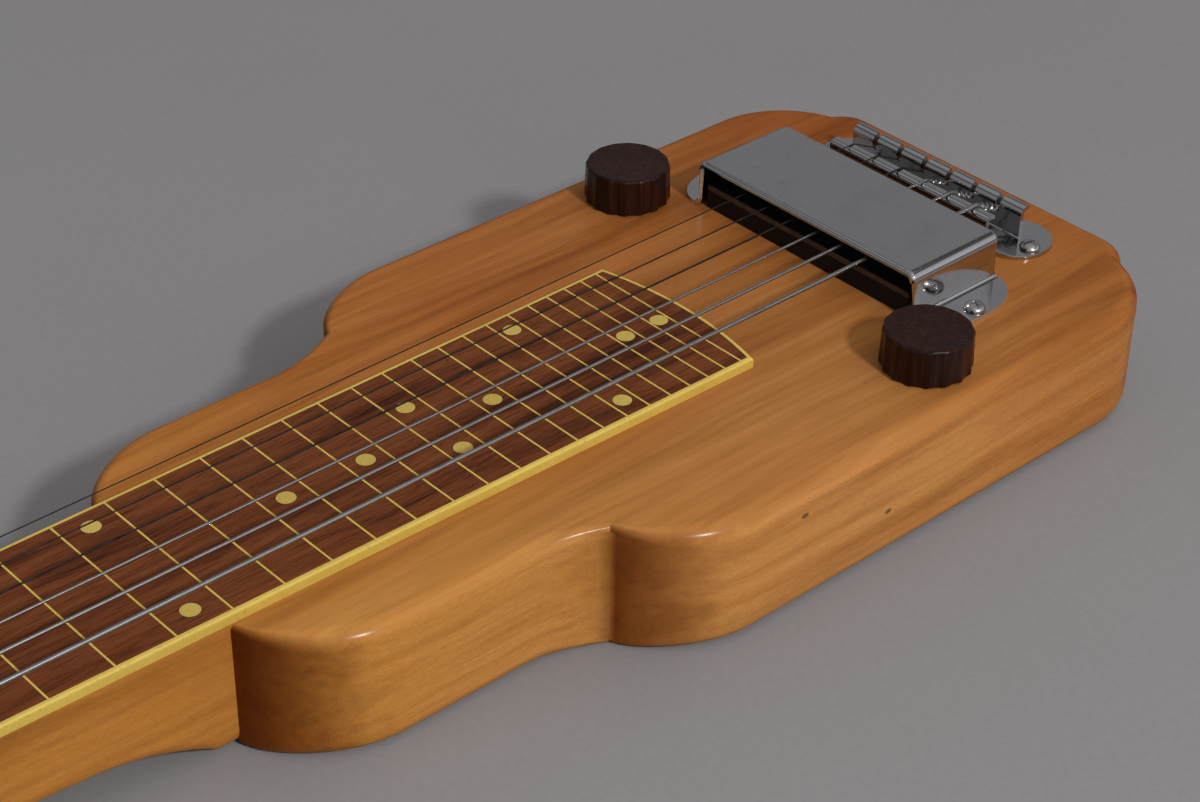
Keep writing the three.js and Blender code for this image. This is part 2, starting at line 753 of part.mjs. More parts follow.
// Tailpiece: channel bent from sheet, slots in the rear lip and a round ear at each end
function tailpiece() {
  const low = topZ;
  const floorTop = topZ + sheet;
  const front = -saddleLean - sheet / 2;
  const profile = new THREE.Shape();
  const bend = sheet;
  profile.moveTo(front + bend, low);
  profile.lineTo(lipX + sheet - bend, low);
  profile.absarc(lipX + sheet - bend, low + bend, bend, -Math.PI / 2, 0);
  profile.lineTo(lipX + sheet, lipTopZ - lipRoll);
  profile.absarc(lipX + lipRoll, lipTopZ - lipRoll, lipRoll - sheet, Math.PI, Math.PI / 2, true);
  profile.lineTo(lipX + lipRoll, lipTopZ);
  profile.absarc(lipX + lipRoll, lipTopZ - lipRoll, lipRoll, Math.PI / 2, Math.PI);
  profile.lineTo(lipX, floorTop);
  profile.lineTo(front + sheet, floorTop);
  profile.lineTo(-sheet / 2, saddleTopZ - sheet);
  profile.lineTo(saddleLean, saddleTopZ - sheet);
  profile.absarc(saddleLean, saddleTopZ - sheet / 2, sheet / 2, -Math.PI / 2, Math.PI / 2);
  profile.absarc(saddleLean - sheet, saddleTopZ - sheet - sheet / 2, sheet + sheet / 2, Math.PI / 2, Math.PI);
  profile.lineTo(front, low + bend);
  profile.absarc(front + bend, low + bend, bend, Math.PI, 1.5 * Math.PI);
  const bendSteps = 2;
  const settings = { depth: 2 * tailpieceHalf, bevelEnabled: false, curveSegments: bendSteps };
  const channel = new THREE.ExtrudeGeometry(profile, settings).rotateX(Math.PI / 2);
  channel.translate(0, tailpieceHalf, 0);
  const ears = Object.values(sides).map((side) => {
    return cylinder(earRadius, low, floorTop, wideSides).translate(earX, side * earY, 0);
  });
  const tools = stringGauges.map((_, index) => {
    const y = stringYAt(0, index);
    const half = slotWidth / 2;
    const rear = lipX + lipRoll + overrun;
    return block(lipX - overrun / 2, rear, y - half, y + half, slotFloorZ, lipTopZ + overrun);
  });
  for (const side of Object.values(sides)) {
    const hole = cylinder(pilot(shankRadius), low - overrun, floorTop + overrun, roundSides);
    tools.push(hole.translate(earScrewX, side * earScrewY, 0));
    const ends = [side * saddleHalf, side * (tailpieceHalf + overrun)].sort((a, b) => a - b);
    tools.push(block(front - overrun, lipX - overrun, ...ends, floorTop, saddleTopZ + overrun));
  }
  return carve(fuse(channel, ...ears), ...tools);
}

function domeScrew(level) {
  const half = domeRadius * Math.SQRT1_2;
  const profile = [
    [0, level - shankLength],
    [shankRadius, level - shankLength],
    [shankRadius, level],
    [domeRadius, level],
    [half, level + domeHeight * Math.SQRT1_2],
    [0, level + domeHeight],
  ];
  return revolve(profile, roundSides);
}

// Pickup cover: sheet bent to an inverted U, with a half-round foot turned out on each side
function pickupCover() {
  const high = topZ + coverHeight;
  const inner = coverHalf - coverSheet;
  const innerBend = coverBend - coverSheet;
  const profile = new THREE.Shape();
  profile.moveTo(coverHalf, topZ);
  profile.lineTo(coverHalf, high - coverBend);
  profile.absarc(coverHalf - coverBend, high - coverBend, coverBend, 0, Math.PI / 2);
  profile.absarc(coverBend - coverHalf, high - coverBend, coverBend, Math.PI / 2, Math.PI);
  profile.lineTo(-coverHalf, topZ);
  profile.lineTo(-inner, topZ);
  profile.absarc(coverBend - coverHalf, high - coverBend, innerBend, Math.PI, Math.PI / 2, true);
  profile.absarc(coverHalf - coverBend, high - coverBend, innerBend, Math.PI / 2, 0, true);
  profile.lineTo(inner, topZ);
  const bendSteps = 2;
  const settings = { depth: coverRearX - coverFrontX, bevelEnabled: false, curveSegments: bendSteps };
  const bridge = new THREE.ExtrudeGeometry(profile, settings).rotateX(Math.PI / 2).rotateZ(Math.PI / 2);
  bridge.translate(coverFrontX, 0, 0);
  const feet = Object.values(sides).map((side) => {
    const foot = new THREE.Shape();
    const middle = (coverFrontX + coverRearX) / 2;
    const half = (coverRearX - coverFrontX) / 2;
    foot.absellipse(middle, inner, half, footReach + coverSheet, 0, Math.PI);
    foot.closePath();
    return prism(foot, topZ, topZ + coverSheet, 2 * arcSteps).rotateZ(side > 0 ? 0 : Math.PI)
      .translate(side > 0 ? 0 : 2 * middle, 0, 0);
  });
  const tools = Object.values(sides).map((side) => {
    const hole = cylinder(pilot(shankRadius), topZ - overrun, topZ + coverSheet + overrun, roundSides);
    return hole.translate(footScrewX, side * footScrewY, 0);
  });
  return carve(fuse(bridge, ...feet), ...tools);
}

// Pickup: open-bottomed housing, wound coil round six poles, bar magnet under them

const housingHalf = coverHalf - coverSheet - housingInset;
const magnetTopZ = topZ - pocketDepth + magnetHeight;
const coilHighZ = topZ + housingHeight - housingWall - runningGap;

function pickupHousing() {
  const high = topZ + housingHeight;
  const shell = block(housingFrontX, housingRearX, -housingHalf, housingHalf, topZ, high);
  const wall = housingWall;
  const inside = block(housingFrontX + wall, housingRearX - wall, wall - housingHalf, housingHalf - wall,
    topZ - overrun, high - wall);
  return carve(shell, inside);
}

function stadium(halfLength, halfWidth) {
  const shape = new THREE.Shape();
  const straight = halfLength - halfWidth;
  shape.absarc(0, straight, halfWidth, 0, Math.PI);
  shape.absarc(0, -straight, halfWidth, Math.PI, 2 * Math.PI);
  return shape;
}

function pickupCoil() {
  const shape = stadium(coilHalfLength, coilHalfWidth);
  shape.holes.push(stadium(coilHalfLength - coilWall, coilHalfWidth - coilWall));
  const coilArcSteps = 3;
  return prism(shape, magnetTopZ, coilHighZ, coilArcSteps).translate(coilX, 0, 0);
}

function magnetWithPoles() {
  const half = coilHalfLength - coilWall;
  const low = topZ - pocketDepth;
  const bar = block(coilX - magnetHalfWidth, coilX + magnetHalfWidth, -half, half, low, magnetTopZ);
  const poles = stringGauges.map((_, index) => {
    const pole = cylinder(poleRadius, low + magnetHeight / 2, coilHighZ - poleTopGap, smallSides);
    return pole.translate(coilX, stringYAt(coilX, index), 0);
  });
  return fuse(bar, ...poles);
}

// Fluted knob: scallops deepest at the flared foot, chamfered top, bore and recess below
function knob() {
  const perFlute = 3;
  const count = knobFlutes * perFlute;
  const ring = (radius, z, depth) => Array.from({ length: count }, (_, k) => {
    const angle = (2 * Math.PI * k) / count;
    const dip = k % perFlute ? 0 : depth;
    return new THREE.Vector3((radius - dip) * Math.cos(angle), (radius - dip) * Math.sin(angle), z);
  });
  const low = topZ + knobLift;
  const high = low + knobHeight;
  const body = loft([
    ring(knobRadius, low, fluteDepth),
    ring(knobRadius - knobFlare, high - knobChamfer, fluteDepth / 2),
    ring(knobRadius - knobFlare - knobChamfer, high, 0),
  ]);
  const recess = cylinder(knobRecessRadius, low - overrun, low + knobRecessDepth, roundSides);
  const gripTop = low + knobRecessDepth + shaftGrip;
  const bore = cylinder(shaftRadius + pilotGap, low, gripTop, roundSides);
  return carve(body, recess, bore);
}

const potTopZ = cavityRoofZ - pilotGap;
const potLowZ = potTopZ - potHeight;
const shaftTopZ = topZ + knobLift + knobRecessDepth + shaftGrip - pilotGap;

function pot() {
  const floor = potLowZ + 2 * runningGap;
  const bore = shaftRadius + runningGap;
  const profile = [
    [0, potLowZ],
    [potRadius, potLowZ],
    [potRadius, potTopZ],
    [bushRadius, potTopZ],
    [bushRadius, topZ + bushRise],
    [bore, topZ + bushRise],
    [bore, floor],
    [0, floor],
  ];
  return revolve(profile, roundSides);
}

const potShaft = () => cylinder(shaftRadius, potLowZ + 3 * runningGap, shaftTopZ, roundSides);
const potNut = () => hexNut(potNutRadius, pilot(bushRadius), topZ, topZ + potNutHeight);

// Output jack: threaded bush through the side wall, barrel with the bore for the plug behind it
function outputJack() {
  const web = boutHalf - jackRecessDepth;
  const bushEnd = web + jackBushRise;
  const shoulder = cavityHalf - pilotGap;
  const back = shoulder - jackBodyLength;
  const boreEnd = back + coverSheet;
  const profile = [
    [0, back],
    [jackBodyRadius, back],
    [jackBodyRadius, shoulder],
    [jackBushRadius, shoulder],
    [jackBushRadius, bushEnd],
    [jackBore, bushEnd],
    [jackBore, boreEnd],
    [0, boreEnd],
  ];
  return revolve(profile, roundSides).rotateX(-Math.PI / 2).translate(jackX, 0, jackZ);
}

function jackNut() {
  const web = boutHalf - jackRecessDepth;
  const nut = toGeometry(hexNut(jackNutRadius, pilot(jackBushRadius), web, web + jackNutHeight));
  return nut.rotateX(-Math.PI / 2).translate(jackX, 0, jackZ);
}

// Cover over the control cavity, set in its recess and held by screws with sunk heads
function cavityCover() {
  const plate = prism(cavityShape(coverPlateMarginX, coverPlateMarginY), coverPlateGap, coverPlateTopZ,
    cavityCurveSteps);
  const tools = coverScrewPlaces.map(([x, y]) => {
    const sink = revolve([
      [0, coverPlateGap - overrun],
      [smallHeadRadius + pilotGap, coverPlateGap - overrun],
      [smallHeadRadius + pilotGap, coverPlateGap + smallHeadHeight],
      [pilot(smallShankRadius), coverPlateGap + smallHeadHeight],
      [pilot(smallShankRadius), coverPlateTopZ + overrun],
      [0, coverPlateTopZ + overrun],
    ], hexSides);
    return sink.translate(x, y, 0);
  });
  return carve(plate, ...tools);
}

// Tone capacitor lying against the cavity's roof between the two pots
function toneCapacitor() {
  const lie = cavityRoofZ - capRadius - pilotGap;
  const round = cylinder(capRadius, -capLength / 2, capLength / 2, roundSides).rotateX(Math.PI / 2);
  return round.translate(knobX, knobY / 3, lie);
}

// Tuning machine, about its post's axis: the worm lies beside the gear and its button reaches outward

function gearRing(z) {
  const lead = wormPitch / (2 * Math.PI * wormPitchRadius);
  const twist = ((z - wormZ) * lead) / gearPitchRadius;
  const pitchArc = (2 * Math.PI) / gearTeeth;
  const points = [];
  for (let tooth = 0; tooth < gearTeeth; tooth += 1) {
    const middle = tooth * pitchArc + twist;
    const rootHalf = (toothShares.root * pitchArc) / 2;
    const tipHalf = (toothShares.tip * pitchArc) / 2;
    points.push([gearRootRadius, middle - rootHalf], [gearTipRadius, middle - tipHalf]);
    points.push([gearTipRadius, middle + tipHalf], [gearRootRadius, middle + rootHalf]);
  }
  return points.map(([r, angle]) => new THREE.Vector3(r * Math.cos(angle), r * Math.sin(angle), z));
}

function postWithGear() {
  const gearLow = wormZ - gearThickness / 2;
  const gearHigh = wormZ + gearThickness / 2;
  const top = headTopZ + postRise;
  const waistLow = top - postCap - postWaistHeight;
  const gear = loft([gearRing(gearLow), gearRing(gearHigh)]);
  const profile = [
    [0, gearLow - smallHeadHeight],
    [smallHeadRadius, gearLow - smallHeadHeight],
    [postRadius, gearLow],
    [postRadius, gearHigh],
    [gearCollar, gearHigh],
    [gearCollar, plateBottomZ - runningGap],
    [postRadius, plateBottomZ - runningGap],
    [postRadius, waistLow],
    [postWaist, waistLow],
    [postWaist, top - postCap],
    [postRadius, top - postCap],
    [postRadius - headEdge / 2, top],
    [0, top],
  ];
  return fuse(gear, revolve(profile, smallSides));
}

// Worm with its thread, journals and shaft. Built about Z, laid along the given side of Y
function wormShaft(side) {
  const halfWorm = wormLength / 2;
  const inner = -halfWorm - 2 * runningGap - lugThickness;
  const reach = headHalf - postRowY + buttonGap + buttonGrip;
  const profile = [
    [0, inner - wormHeadLength],
    [wormHeadRadius, inner - wormHeadLength],
    [wormHeadRadius, inner],
    [wormShaftRadius, inner],
    [wormShaftRadius, -halfWorm],
    [wormRootRadius, -halfWorm],
    [wormRootRadius, halfWorm],
    [wormShaftRadius, halfWorm],
    [wormShaftRadius, reach],
    [0, reach],
  ];
  const shaft = revolve(profile, threadSteps).rotateZ(Math.PI / threadSteps).rotateX(-side * Math.PI / 2);
  return fuse(shaft, wormThread()).translate(wormOffset, 0, wormZ);
}

// Right-handed thread round Y, its groove facing the gear's tooth at the middle
function wormThread() {
  const rootHalf = (toothShares.root * wormPitch) / 2;
  const tipHalf = (toothShares.tip * wormPitch) / 2;
  const hidden = wormRootRadius - runningGap;
  const wide = rootHalf + (rootHalf - tipHalf) * (runningGap / (addendum + dedendum));
  const turns = (wormLength - 2 * wide) / wormPitch;
  const count = 2 * Math.floor((turns * threadSteps) / 2);
  const start = -(count * wormPitch) / (2 * threadSteps);
  const rings = [];
  for (let k = 0; k <= count; k += 1) {
    const y = start + (k * wormPitch) / threadSteps;
    const angle = ((y - wormPitch / 2) / wormPitch) * 2 * Math.PI - Math.PI / 2;
    const section = [[hidden, -wide], [wormTipRadius, -tipHalf], [wormTipRadius, tipHalf], [hidden, wide]];
    rings.push(section.map(([r, along]) => {
      return new THREE.Vector3(r * Math.sin(angle), y + along, r * Math.cos(angle));
    }));
  }
  return loft(rings);
}

function tunerButton(side) {
  const start = headHalf - postRowY + buttonGap;
  const shape = new THREE.Shape();
  shape.absellipse(0, start + buttonLength / 2, buttonHalfWidth, buttonLength / 2, 0, 2 * Math.PI);
  const half = buttonThickness / 2;
  const oval = roundedPrism(shape, -half, half, buttonBevel, 1, arcSteps + 1);
  const bore = wormShaftRadius + pilotGap;
  const hole = cylinder(bore, start - overrun, start + buttonGrip + pilotGap, smallSides);
  const button = carve(oval, hole.rotateX(-Math.PI / 2));
  return toGeometry(button).rotateZ(side > 0 ? 0 : Math.PI).translate(wormOffset, 0, wormZ);
}

function tunerPlate(side) {
  const y = side * postRowY;
  const half = plateHalfWidth;
  const plate = block(plateEndX, plateStartX, y - half, y + half, plateBottomZ, headBottomZ);
  const lugs = [];
  const tools = [];
  for (const x of postXs) {
    for (const end of [1, -1]) {
      const face = y + end * (wormLength / 2 + runningGap);
      const span = [face, face + end * lugThickness].sort((a, b) => a - b);
      const shape = new THREE.Shape();
      const grip = plateBottomZ + plateThickness / 2;
      shape.moveTo(-lugHalfWidth, grip);
      shape.absarc(0, wormZ, lugHalfWidth, Math.PI, 2 * Math.PI);
      shape.lineTo(lugHalfWidth, grip);
      const lug = prism(shape, -span[1], -span[0], edgeSteps - 1).rotateX(Math.PI / 2);
      lugs.push(lug.translate(x + wormOffset, 0, 0));
    }
    const reach = wormLength + overrun;
    const bore = cylinder(wormShaftRadius + runningGap, -reach, reach, smallSides).rotateX(Math.PI / 2);
    tools.push(bore.translate(x + wormOffset, y, wormZ));
    const postHole = postRadius + runningGap;
    const hole = cylinder(postHole, plateBottomZ - overrun, headBottomZ + overrun, roundSides);
    tools.push(hole.translate(x, y, 0));
  }
  for (const x of plateScrewXs) {
    const hole = cylinder(pilot(smallShankRadius), plateBottomZ - overrun, headBottomZ + overrun, hexSides);
    tools.push(hole.translate(x, y, 0));
  }
  return carve(fuse(plate, ...lugs), ...tools);
}

function ferrule() {
  return ringOf(ferruleRadius, postRadius + runningGap, headTopZ, headTopZ + ferruleHeight, smallSides);
}

// Assembly

const sideNames = Object.entries(sides);

addPiece('body', bodyWithNeck(), 'maple');
addPiece('fingerboard', fingerboard(), 'rosewood');
addPiece('binding_and_fret_lines', bindingWithFretLines(), 'celluloid');
addPiece('nut', nut(), 'steel');

stringGauges.forEach((gauge, index) => {
  const finish = index < stringGauges.length / 2 ? 'steel' : 'bronze';
  addPiece(`string_${index + 1}`, stringWithBall(index), finish);
  const gap = leastGap(stringPath(index), gauge);
  console.log(`string_${index + 1}: least gap between wraps ${gap.toFixed(2)} mm`);
});

addPiece('tailpiece', tailpiece(), 'chrome');
addPiece('pickup_cover', pickupCover(), 'chrome');
for (const [name, side] of sideNames) {
  const screw = domeScrew(topZ + sheet).translate(earScrewX, side * earScrewY, 0);
  addPiece(`tailpiece_screw_${name}`, screw, 'chrome');
  const footScrew = domeScrew(topZ + coverSheet).translate(footScrewX, side * footScrewY, 0);
  addPiece(`pickup_cover_screw_${name}`, footScrew, 'chrome');
}

addPiece('pickup_housing', pickupHousing(), 'black');
addPiece('pickup_coil', pickupCoil(), 'copper');
addPiece('pickup_magnet_and_poles', magnetWithPoles(), 'steel');

for (const [name, side] of [['volume', sides.bass], ['tone', sides.treble]]) {
  const place = new THREE.Group();
  place.position.set(knobX, side * knobY, 0);
  guitar.add(place);
  addPiece(`${name}_knob`, knob(), 'tortoise', place);
  addPiece(`${name}_shaft`, potShaft(), 'steel', place);
  addPiece(`${name}_pot`, pot(), 'steel', place);
  addPiece(`${name}_pot_nut`, potNut(), 'steel', place);
}
addPiece('tone_capacitor', toneCapacitor(), 'fibre');
addPiece('output_jack', outputJack(), 'steel');
addPiece('output_jack_nut', jackNut(), 'chrome');
addPiece('cavity_cover', cavityCover(), 'black');

for (const [name, side] of sideNames) {
  addPiece(`tuner_plate_${name}`, tunerPlate(side), 'steel');
}
stringGauges.forEach((_, index) => {
  const post = postOf(index);
  const machine = new THREE.Group();
  machine.position.set(post.x, post.y, 0);
  guitar.add(machine);
  addPiece(`string_post_${index + 1}`, postWithGear(), 'steel', machine);
  addPiece(`post_ferrule_${index + 1}`, ferrule(), 'chrome', machine);
  addPiece(`tuner_worm_${index + 1}`, wormShaft(post.side), 'steel', machine);
  addPiece(`tuner_button_${index + 1}`, tunerButton(post.side), 'cream', machine);
});

export default guitar;
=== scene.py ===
from math import acos, asin, atan2, cos, exp, hypot, pi, radians, sin, sqrt

import bmesh
import bpy
from mathutils import Matrix, Vector


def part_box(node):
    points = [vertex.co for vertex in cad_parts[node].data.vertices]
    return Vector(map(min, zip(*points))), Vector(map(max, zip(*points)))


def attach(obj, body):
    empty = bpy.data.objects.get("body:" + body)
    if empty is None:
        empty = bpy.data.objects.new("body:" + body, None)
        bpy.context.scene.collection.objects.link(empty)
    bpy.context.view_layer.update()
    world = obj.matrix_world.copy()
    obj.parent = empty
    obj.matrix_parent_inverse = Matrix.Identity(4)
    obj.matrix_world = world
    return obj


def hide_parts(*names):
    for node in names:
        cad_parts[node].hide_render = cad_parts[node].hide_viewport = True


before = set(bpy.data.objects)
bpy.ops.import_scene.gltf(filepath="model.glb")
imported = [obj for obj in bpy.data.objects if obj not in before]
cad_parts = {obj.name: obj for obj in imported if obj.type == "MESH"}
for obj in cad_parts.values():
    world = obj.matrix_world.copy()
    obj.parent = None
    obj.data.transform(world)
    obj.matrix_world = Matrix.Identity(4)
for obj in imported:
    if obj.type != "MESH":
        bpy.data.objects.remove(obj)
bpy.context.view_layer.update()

# Lap steel guitar. Sizes are in millimetres, places along X are counted from the saddle line,
# and place() turns them into the frame's metres.

MM = 0.001
TAIL_X = 37
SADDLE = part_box("body")[1].x / MM - TAIL_X

# Strings, from string 1 on the treble side to string 6 on the bass side
SCALE = 571.5
SPACING_AT_SADDLE = 10.7
SPACING_AT_NUT = 9.9
GAUGES = [0.36, 0.46, 0.62, 0.86, 1.12, 1.42]
STRING_SEAT = 0.05
WRAPS = 2
WRAP_GAP = 0.7
FIRST_WOUND = 3
STRING_BEND = 1.2
TWIST_PITCH = 2.6
TWIST_STEPS = 12
TWIST_REACH = 0.6
TWIST_START = -0.4
TWIST_END = (1.6, -0.4)
TWIST_OF_WOUND = (0.3, 1)
TWIST_OF_PLAIN = (0.2, 0.6)

# Body
BODY_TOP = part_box("body")[1].z / MM
EDGE = 5.5
EDGE_AT_STEP = 2
STEP_REACH = 15
LOBE = 38
SHOULDER_HALF = 58
SHOULDER_TURN = -252
FLARE_START = -212
FLARE = 58
BOUT_HALF = 86.5
BOUT_TURN = -152
TAIL_TURN = -2
TAIL_LOBE = 34
TAIL_BLOCK_HALF = 64.5
TAIL_CORNER = 12

# Neck, heel and headstock
BOARD_HALF_AT_SADDLE = 33
BOARD_HALF_AT_NUT = 26.8
NECK_REVEAL = 0.3
NECK_DEPTH_AT_NUT = 20
NECK_DEPTH_AT_HEEL = 28.7
NECK_CORNER = 6
HEEL_START = -338
HEEL = 84
NECK_TONGUE = 14
HEAD_DROP = 3
HEAD_THICKNESS = 15
HEAD_RAMP = 14
HEAD_LENGTH = 130
HEAD_FLARE = 22
HEAD_HALF = 37
HEAD_CORNER = 12
HEAD_EDGE = 1.5

# Fingerboard, binding, fret lines and dots
BOARD_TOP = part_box("binding_and_fret_lines")[1].z / MM
BOARD_END_MARGIN = 6.8
BOARD_END = 125
BINDING = 1.5
BINDING_EDGE = 0.8
BINDING_GAP = 0.02
FRETS = 29
FRET_LINE = 0.7
FRET_LINE_TRIM = 0.05
FRET_LINE_DEPTH = 0.9
DOT = 2.85
DOT_SOCKET = 3
DOT_FRETS = [3, 5, 7, 9, 12, 15, 17, 19, 21, 24, 27, 29]
OUTER_PAIR_FRETS = [12, 24]
INNER_PAIR_FRETS = [7, 19]
OUTER_PAIR_SHARE = 0.78
INNER_PAIR_SHARE = 0.42
DOT_DEPTH = 0.8
DOT_EDGE = 0.12
INLAY_RISE = 0.03
LINE_RISE = INLAY_RISE * 0.4
SEAM_RISE = 0.008
SEAM_DEPTH = 0.3

# Nut
NUT_THICKNESS = 5
NUT_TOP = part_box("nut")[1].z / MM
NUT_NOTCH = 0.5
NUT_NOTCH_GAP = 0.15
NUT_GLUE = 0.05
NUT_FRONT_ROUND = 1
NUT_BACK_ROUND = 2.2

# Tailpiece
SHEET = 1.4
SADDLE_HEIGHT = 12.4
SADDLE_LEAN = 1.2
LIP_HEIGHT = 12
LIP_X = 11.6
LIP_ROLL = 3.2
CHANNEL_ROUND = 0.8
TAILPIECE_HALF = 36.5
SADDLE_HALF = 34
EAR = 12
EAR_X = 11
EAR_Y = 35.5
EAR_EDGE = ((0, 0.35), (0.12, 0.1), (0.4, 0))
EAR_SCREW = (9.5, 43)
SLOT_WIDTH = 1.9
TAB_CORNER = 0.7
SLOT_DEPTH = 5.2
SLOT_START = 1.2
BALL = 2
BALL_BORE = 0.6
BALL_WIDTH = 3.4
BALL_WAIST = 1.7
BALL_GAP = 0.3

# Pickup cover and housing
COVER_FRONT = -50.2
COVER_REAR = -11.2
COVER_HALF = 47
COVER_HEIGHT = 16.6
COVER_SHEET = 1.2
COVER_BEND = 3.2
COVER_ROLL = 1.5
COVER_ROLL_START = 3
COVER_COLUMNS = (0, 12, 24, 36)
FOOT_BEND = 1.6
FOOT_REACH = 12.6
FOOT_TIP = 0.4
FOOT_FULLNESS = 2.4
FOOT_SCREW_INSET = 4.1
HOUSING_STRIP = 2.1
HOUSING_INSETS = (0, 0.2, 0.35)
HOUSING_CAP = 0.3
HOUSING_LAP = 0.05

# Controls
KNOB_X = -63.6
KNOB_Y = 65.5
KNOB = 14
KNOB_HEIGHT = 12.4
KNOB_LIFT = 0.5
KNOB_SHOULDER = 1.1
KNOB_FLUTES = 16
FLUTE_STEPS = 14
FLUTE_LAND = 0.16
FLUTE_DEPTH = 0.62
FLUTE_FADE = 0.6
KNOB_FLARE = 0.35
KNOB_FOOT = (0.4, 0.3)
KNOB_DISH = ((0.8, 0.05), (0.64, 0.14), (0.35, 0.2), (0.001, 0.22))
KNOB_RECESS = 8.6
KNOB_RECESS_DEPTH = 4.2

# Control cavity and its cover
CAVITY_FRONT = -79
CAVITY_REAR = -48.5
CAVITY_HALF = 78.5
CAVITY_ROOF = 7
BAY_REAR = -18
BAY_INNER = 48
CAVITY_CORNER = 5
PLATE_THICKNESS = 1.6
PLATE_GAP = 0.3
PLATE_MARGIN_X = 7
PLATE_MARGIN_Y = 2.2
PLATE_SCREW_SPREAD = 62
POCKET_X = -31
POCKET_HALF = (9, 37.5)
POCKET_DEPTH = 12
POT_HOLE = 4.8
POT_HOLE_START = 20
WALL_DRILL = 12

# Output jack
JACK_X = -33
JACK_Z = 19
JACK_BORE = 3.3
JACK_BACK_WALL = 1.2
JACK_BUSH = 4.7
JACK_BUSH_RISE = 3.4
JACK_THREAD = 0.5
JACK_RECESS = 11
JACK_RECESS_DEPTH = 4.2
JACK_NUT = 7
JACK_NUT_HEIGHT = 2.4
JACK_NUT_CONE = 0.7
JACK_NUT_FACE = 0.97
JACK_BODY = 8
JACK_BODY_LENGTH = 22
JACK_GAP = 0.1
JACK_CHAMFER = 0.5
JACK_BUSH_EDGE = ((0.1, 0.3), (0.4, 0))
JACK_NUT_GAP = 0.05
JACK_THREAD_ENDS = (0.2, 0.6)
JACK_RECESS_DRILL = 9

# Tuners
FIRST_POST = 34
POST_SPACING = 36
POST_ROW = 24
POST = 3
POST_WAIST = 2.5
POST_RISE = 11.5
POST_WAIST_HEIGHT = 6.4
POST_FILLET = 0.5
POST_CAP = 1.8
POST_EDGE = ((0, 0.7), (0.2, 0.25), (0.8, 0))
RUNNING_GAP = 0.3
GEAR_TEETH = 14
WORM_PITCH = 2.5
WORM_PITCH_RADIUS = 2.3
ADDENDUM = 0.65
DEDENDUM = 0.85
TOOTH_SHARES = {"root": 0.6, "tip": 0.24}
GEAR_THICKNESS = 2.6
GEAR_COLLAR = 4.4
GEAR_CHAMFER = 0.25
RETAINER = 2.1
RETAINER_HEIGHT = 1.1
WORM_LENGTH = 7
WORM_SHAFT = 1.3
WORM_HEAD = (1.9, 0.9)
TUNER_PLATE = 1
PLATE_HALF = 8.5
PLATE_CORNER = 3
PLATE_FRONT = 17
PLATE_REAR = 13
PLATE_SCREW_INSET = 3.5
LUG = 1.2
LUG_HALF = 2.4
LUG_FILLET = ((0, -0.8), (0.5, -0.3), (0.8, 0.5))
LUG_DRILL = 9
BUTTON_GAP = 4
BUTTON_LENGTH = 15
BUTTON_HALF = 7
BUTTON_THICKNESS = 6
BUTTON_GRIP = 8
BUTTON_ROUND = 2.6
BUTTON_LAYERS = [(-1, 0.55), (-0.93, 0.78), (-0.75, 0.93), (-0.4, 1)]
FERRULE = 5
FERRULE_HEIGHT = 1.6
FERRULE_EDGE = ((0, 0.8), (0.25, 0.25), (0.8, 0))

# Screws
DOME = 3.4
DOME_HEIGHT = 2.3
DOME_RIM = 0.15
SMALL_HEAD = 2.1
SINK = 1.1
SINK_GAP = 0.1
SMALL_HEAD_TOP = 1.05
SMALL_HEAD_FOOT = 0.05
SMALL_HEAD_RIM = 0.12
STRIP_HEAD_RIM = 0.1
STRIP_HEAD_DOME = 0.9
STRIP_SHANK = (1, 0.4)
SLOT = 0.7

# Camera, found from the photograph
CAMERA_PLACE = (-0.22650, -0.47329, 0.45909)
CAMERA_RIGHT = (0.74693, -0.66481, 0.0111)
CAMERA_DOWN = (-0.36707, -0.42622, -0.8268)
CAMERA_FORWARD = (0.55439, 0.61349, -0.56239)
SENSOR = 36
LENS = 77.435

# Lamps: place, aim, size, power, colour, and whether mirrors show them
LAMPS = {
    "soft_box": ((1.15, -1.1, 1.8), (0.1, 0, 0), (4.2, 4.2), 25, (1, 0.985, 0.965), False),
    "key_lamp": ((0.03, -2.0, 1.6), (0.1, -0.05, 0.04), (0.24, 0.2), 38, (1, 0.99, 0.975), True),
}

# World: its light, and what the camera and the mirrors see of it, as shades by height
WORLD_LIGHT = 0.37
WORLD_COLOUR = (1.0, 0.985, 0.96, 1)
WORLD_BANDS = ((0.08, 0.04), (0.2, 0.26), (0.62, 0.25), (0.7, 0.07), (0.74, 0.07), (0.8, 0.34))
WORLD_FRONT = (0.0, -0.65, 1.0, 2.4)

# Levels and places worked out from the sizes above
NUT_X = -SCALE
NUT_BACK = NUT_X - NUT_THICKNESS
HEAD_TOP = BODY_TOP - HEAD_DROP
HEAD_BOTTOM = HEAD_TOP - HEAD_THICKNESS
HEAD_END = NUT_BACK - HEAD_LENGTH
SADDLE_TOP = BODY_TOP + SADDLE_HEIGHT
LIP_TOP = BODY_TOP + LIP_HEIGHT
BALL_X = LIP_X + SHEET + BALL_GAP + BALL
BALL_Z = LIP_TOP - SLOT_DEPTH + BALL_GAP + BALL / 2
GEAR_PITCH_RADIUS = GEAR_TEETH * WORM_PITCH / (2 * pi)
WORM_OFFSET = GEAR_PITCH_RADIUS + WORM_PITCH_RADIUS
TUNER_PLATE_LOW = HEAD_BOTTOM - TUNER_PLATE
WORM_Z = TUNER_PLATE_LOW - WORM_PITCH_RADIUS - ADDENDUM - RUNNING_GAP
SIDES = {"treble": 1, "bass": -1}
POST_XS = [NUT_BACK - FIRST_POST - k * POST_SPACING for k in range(len(GAUGES) // 2)]

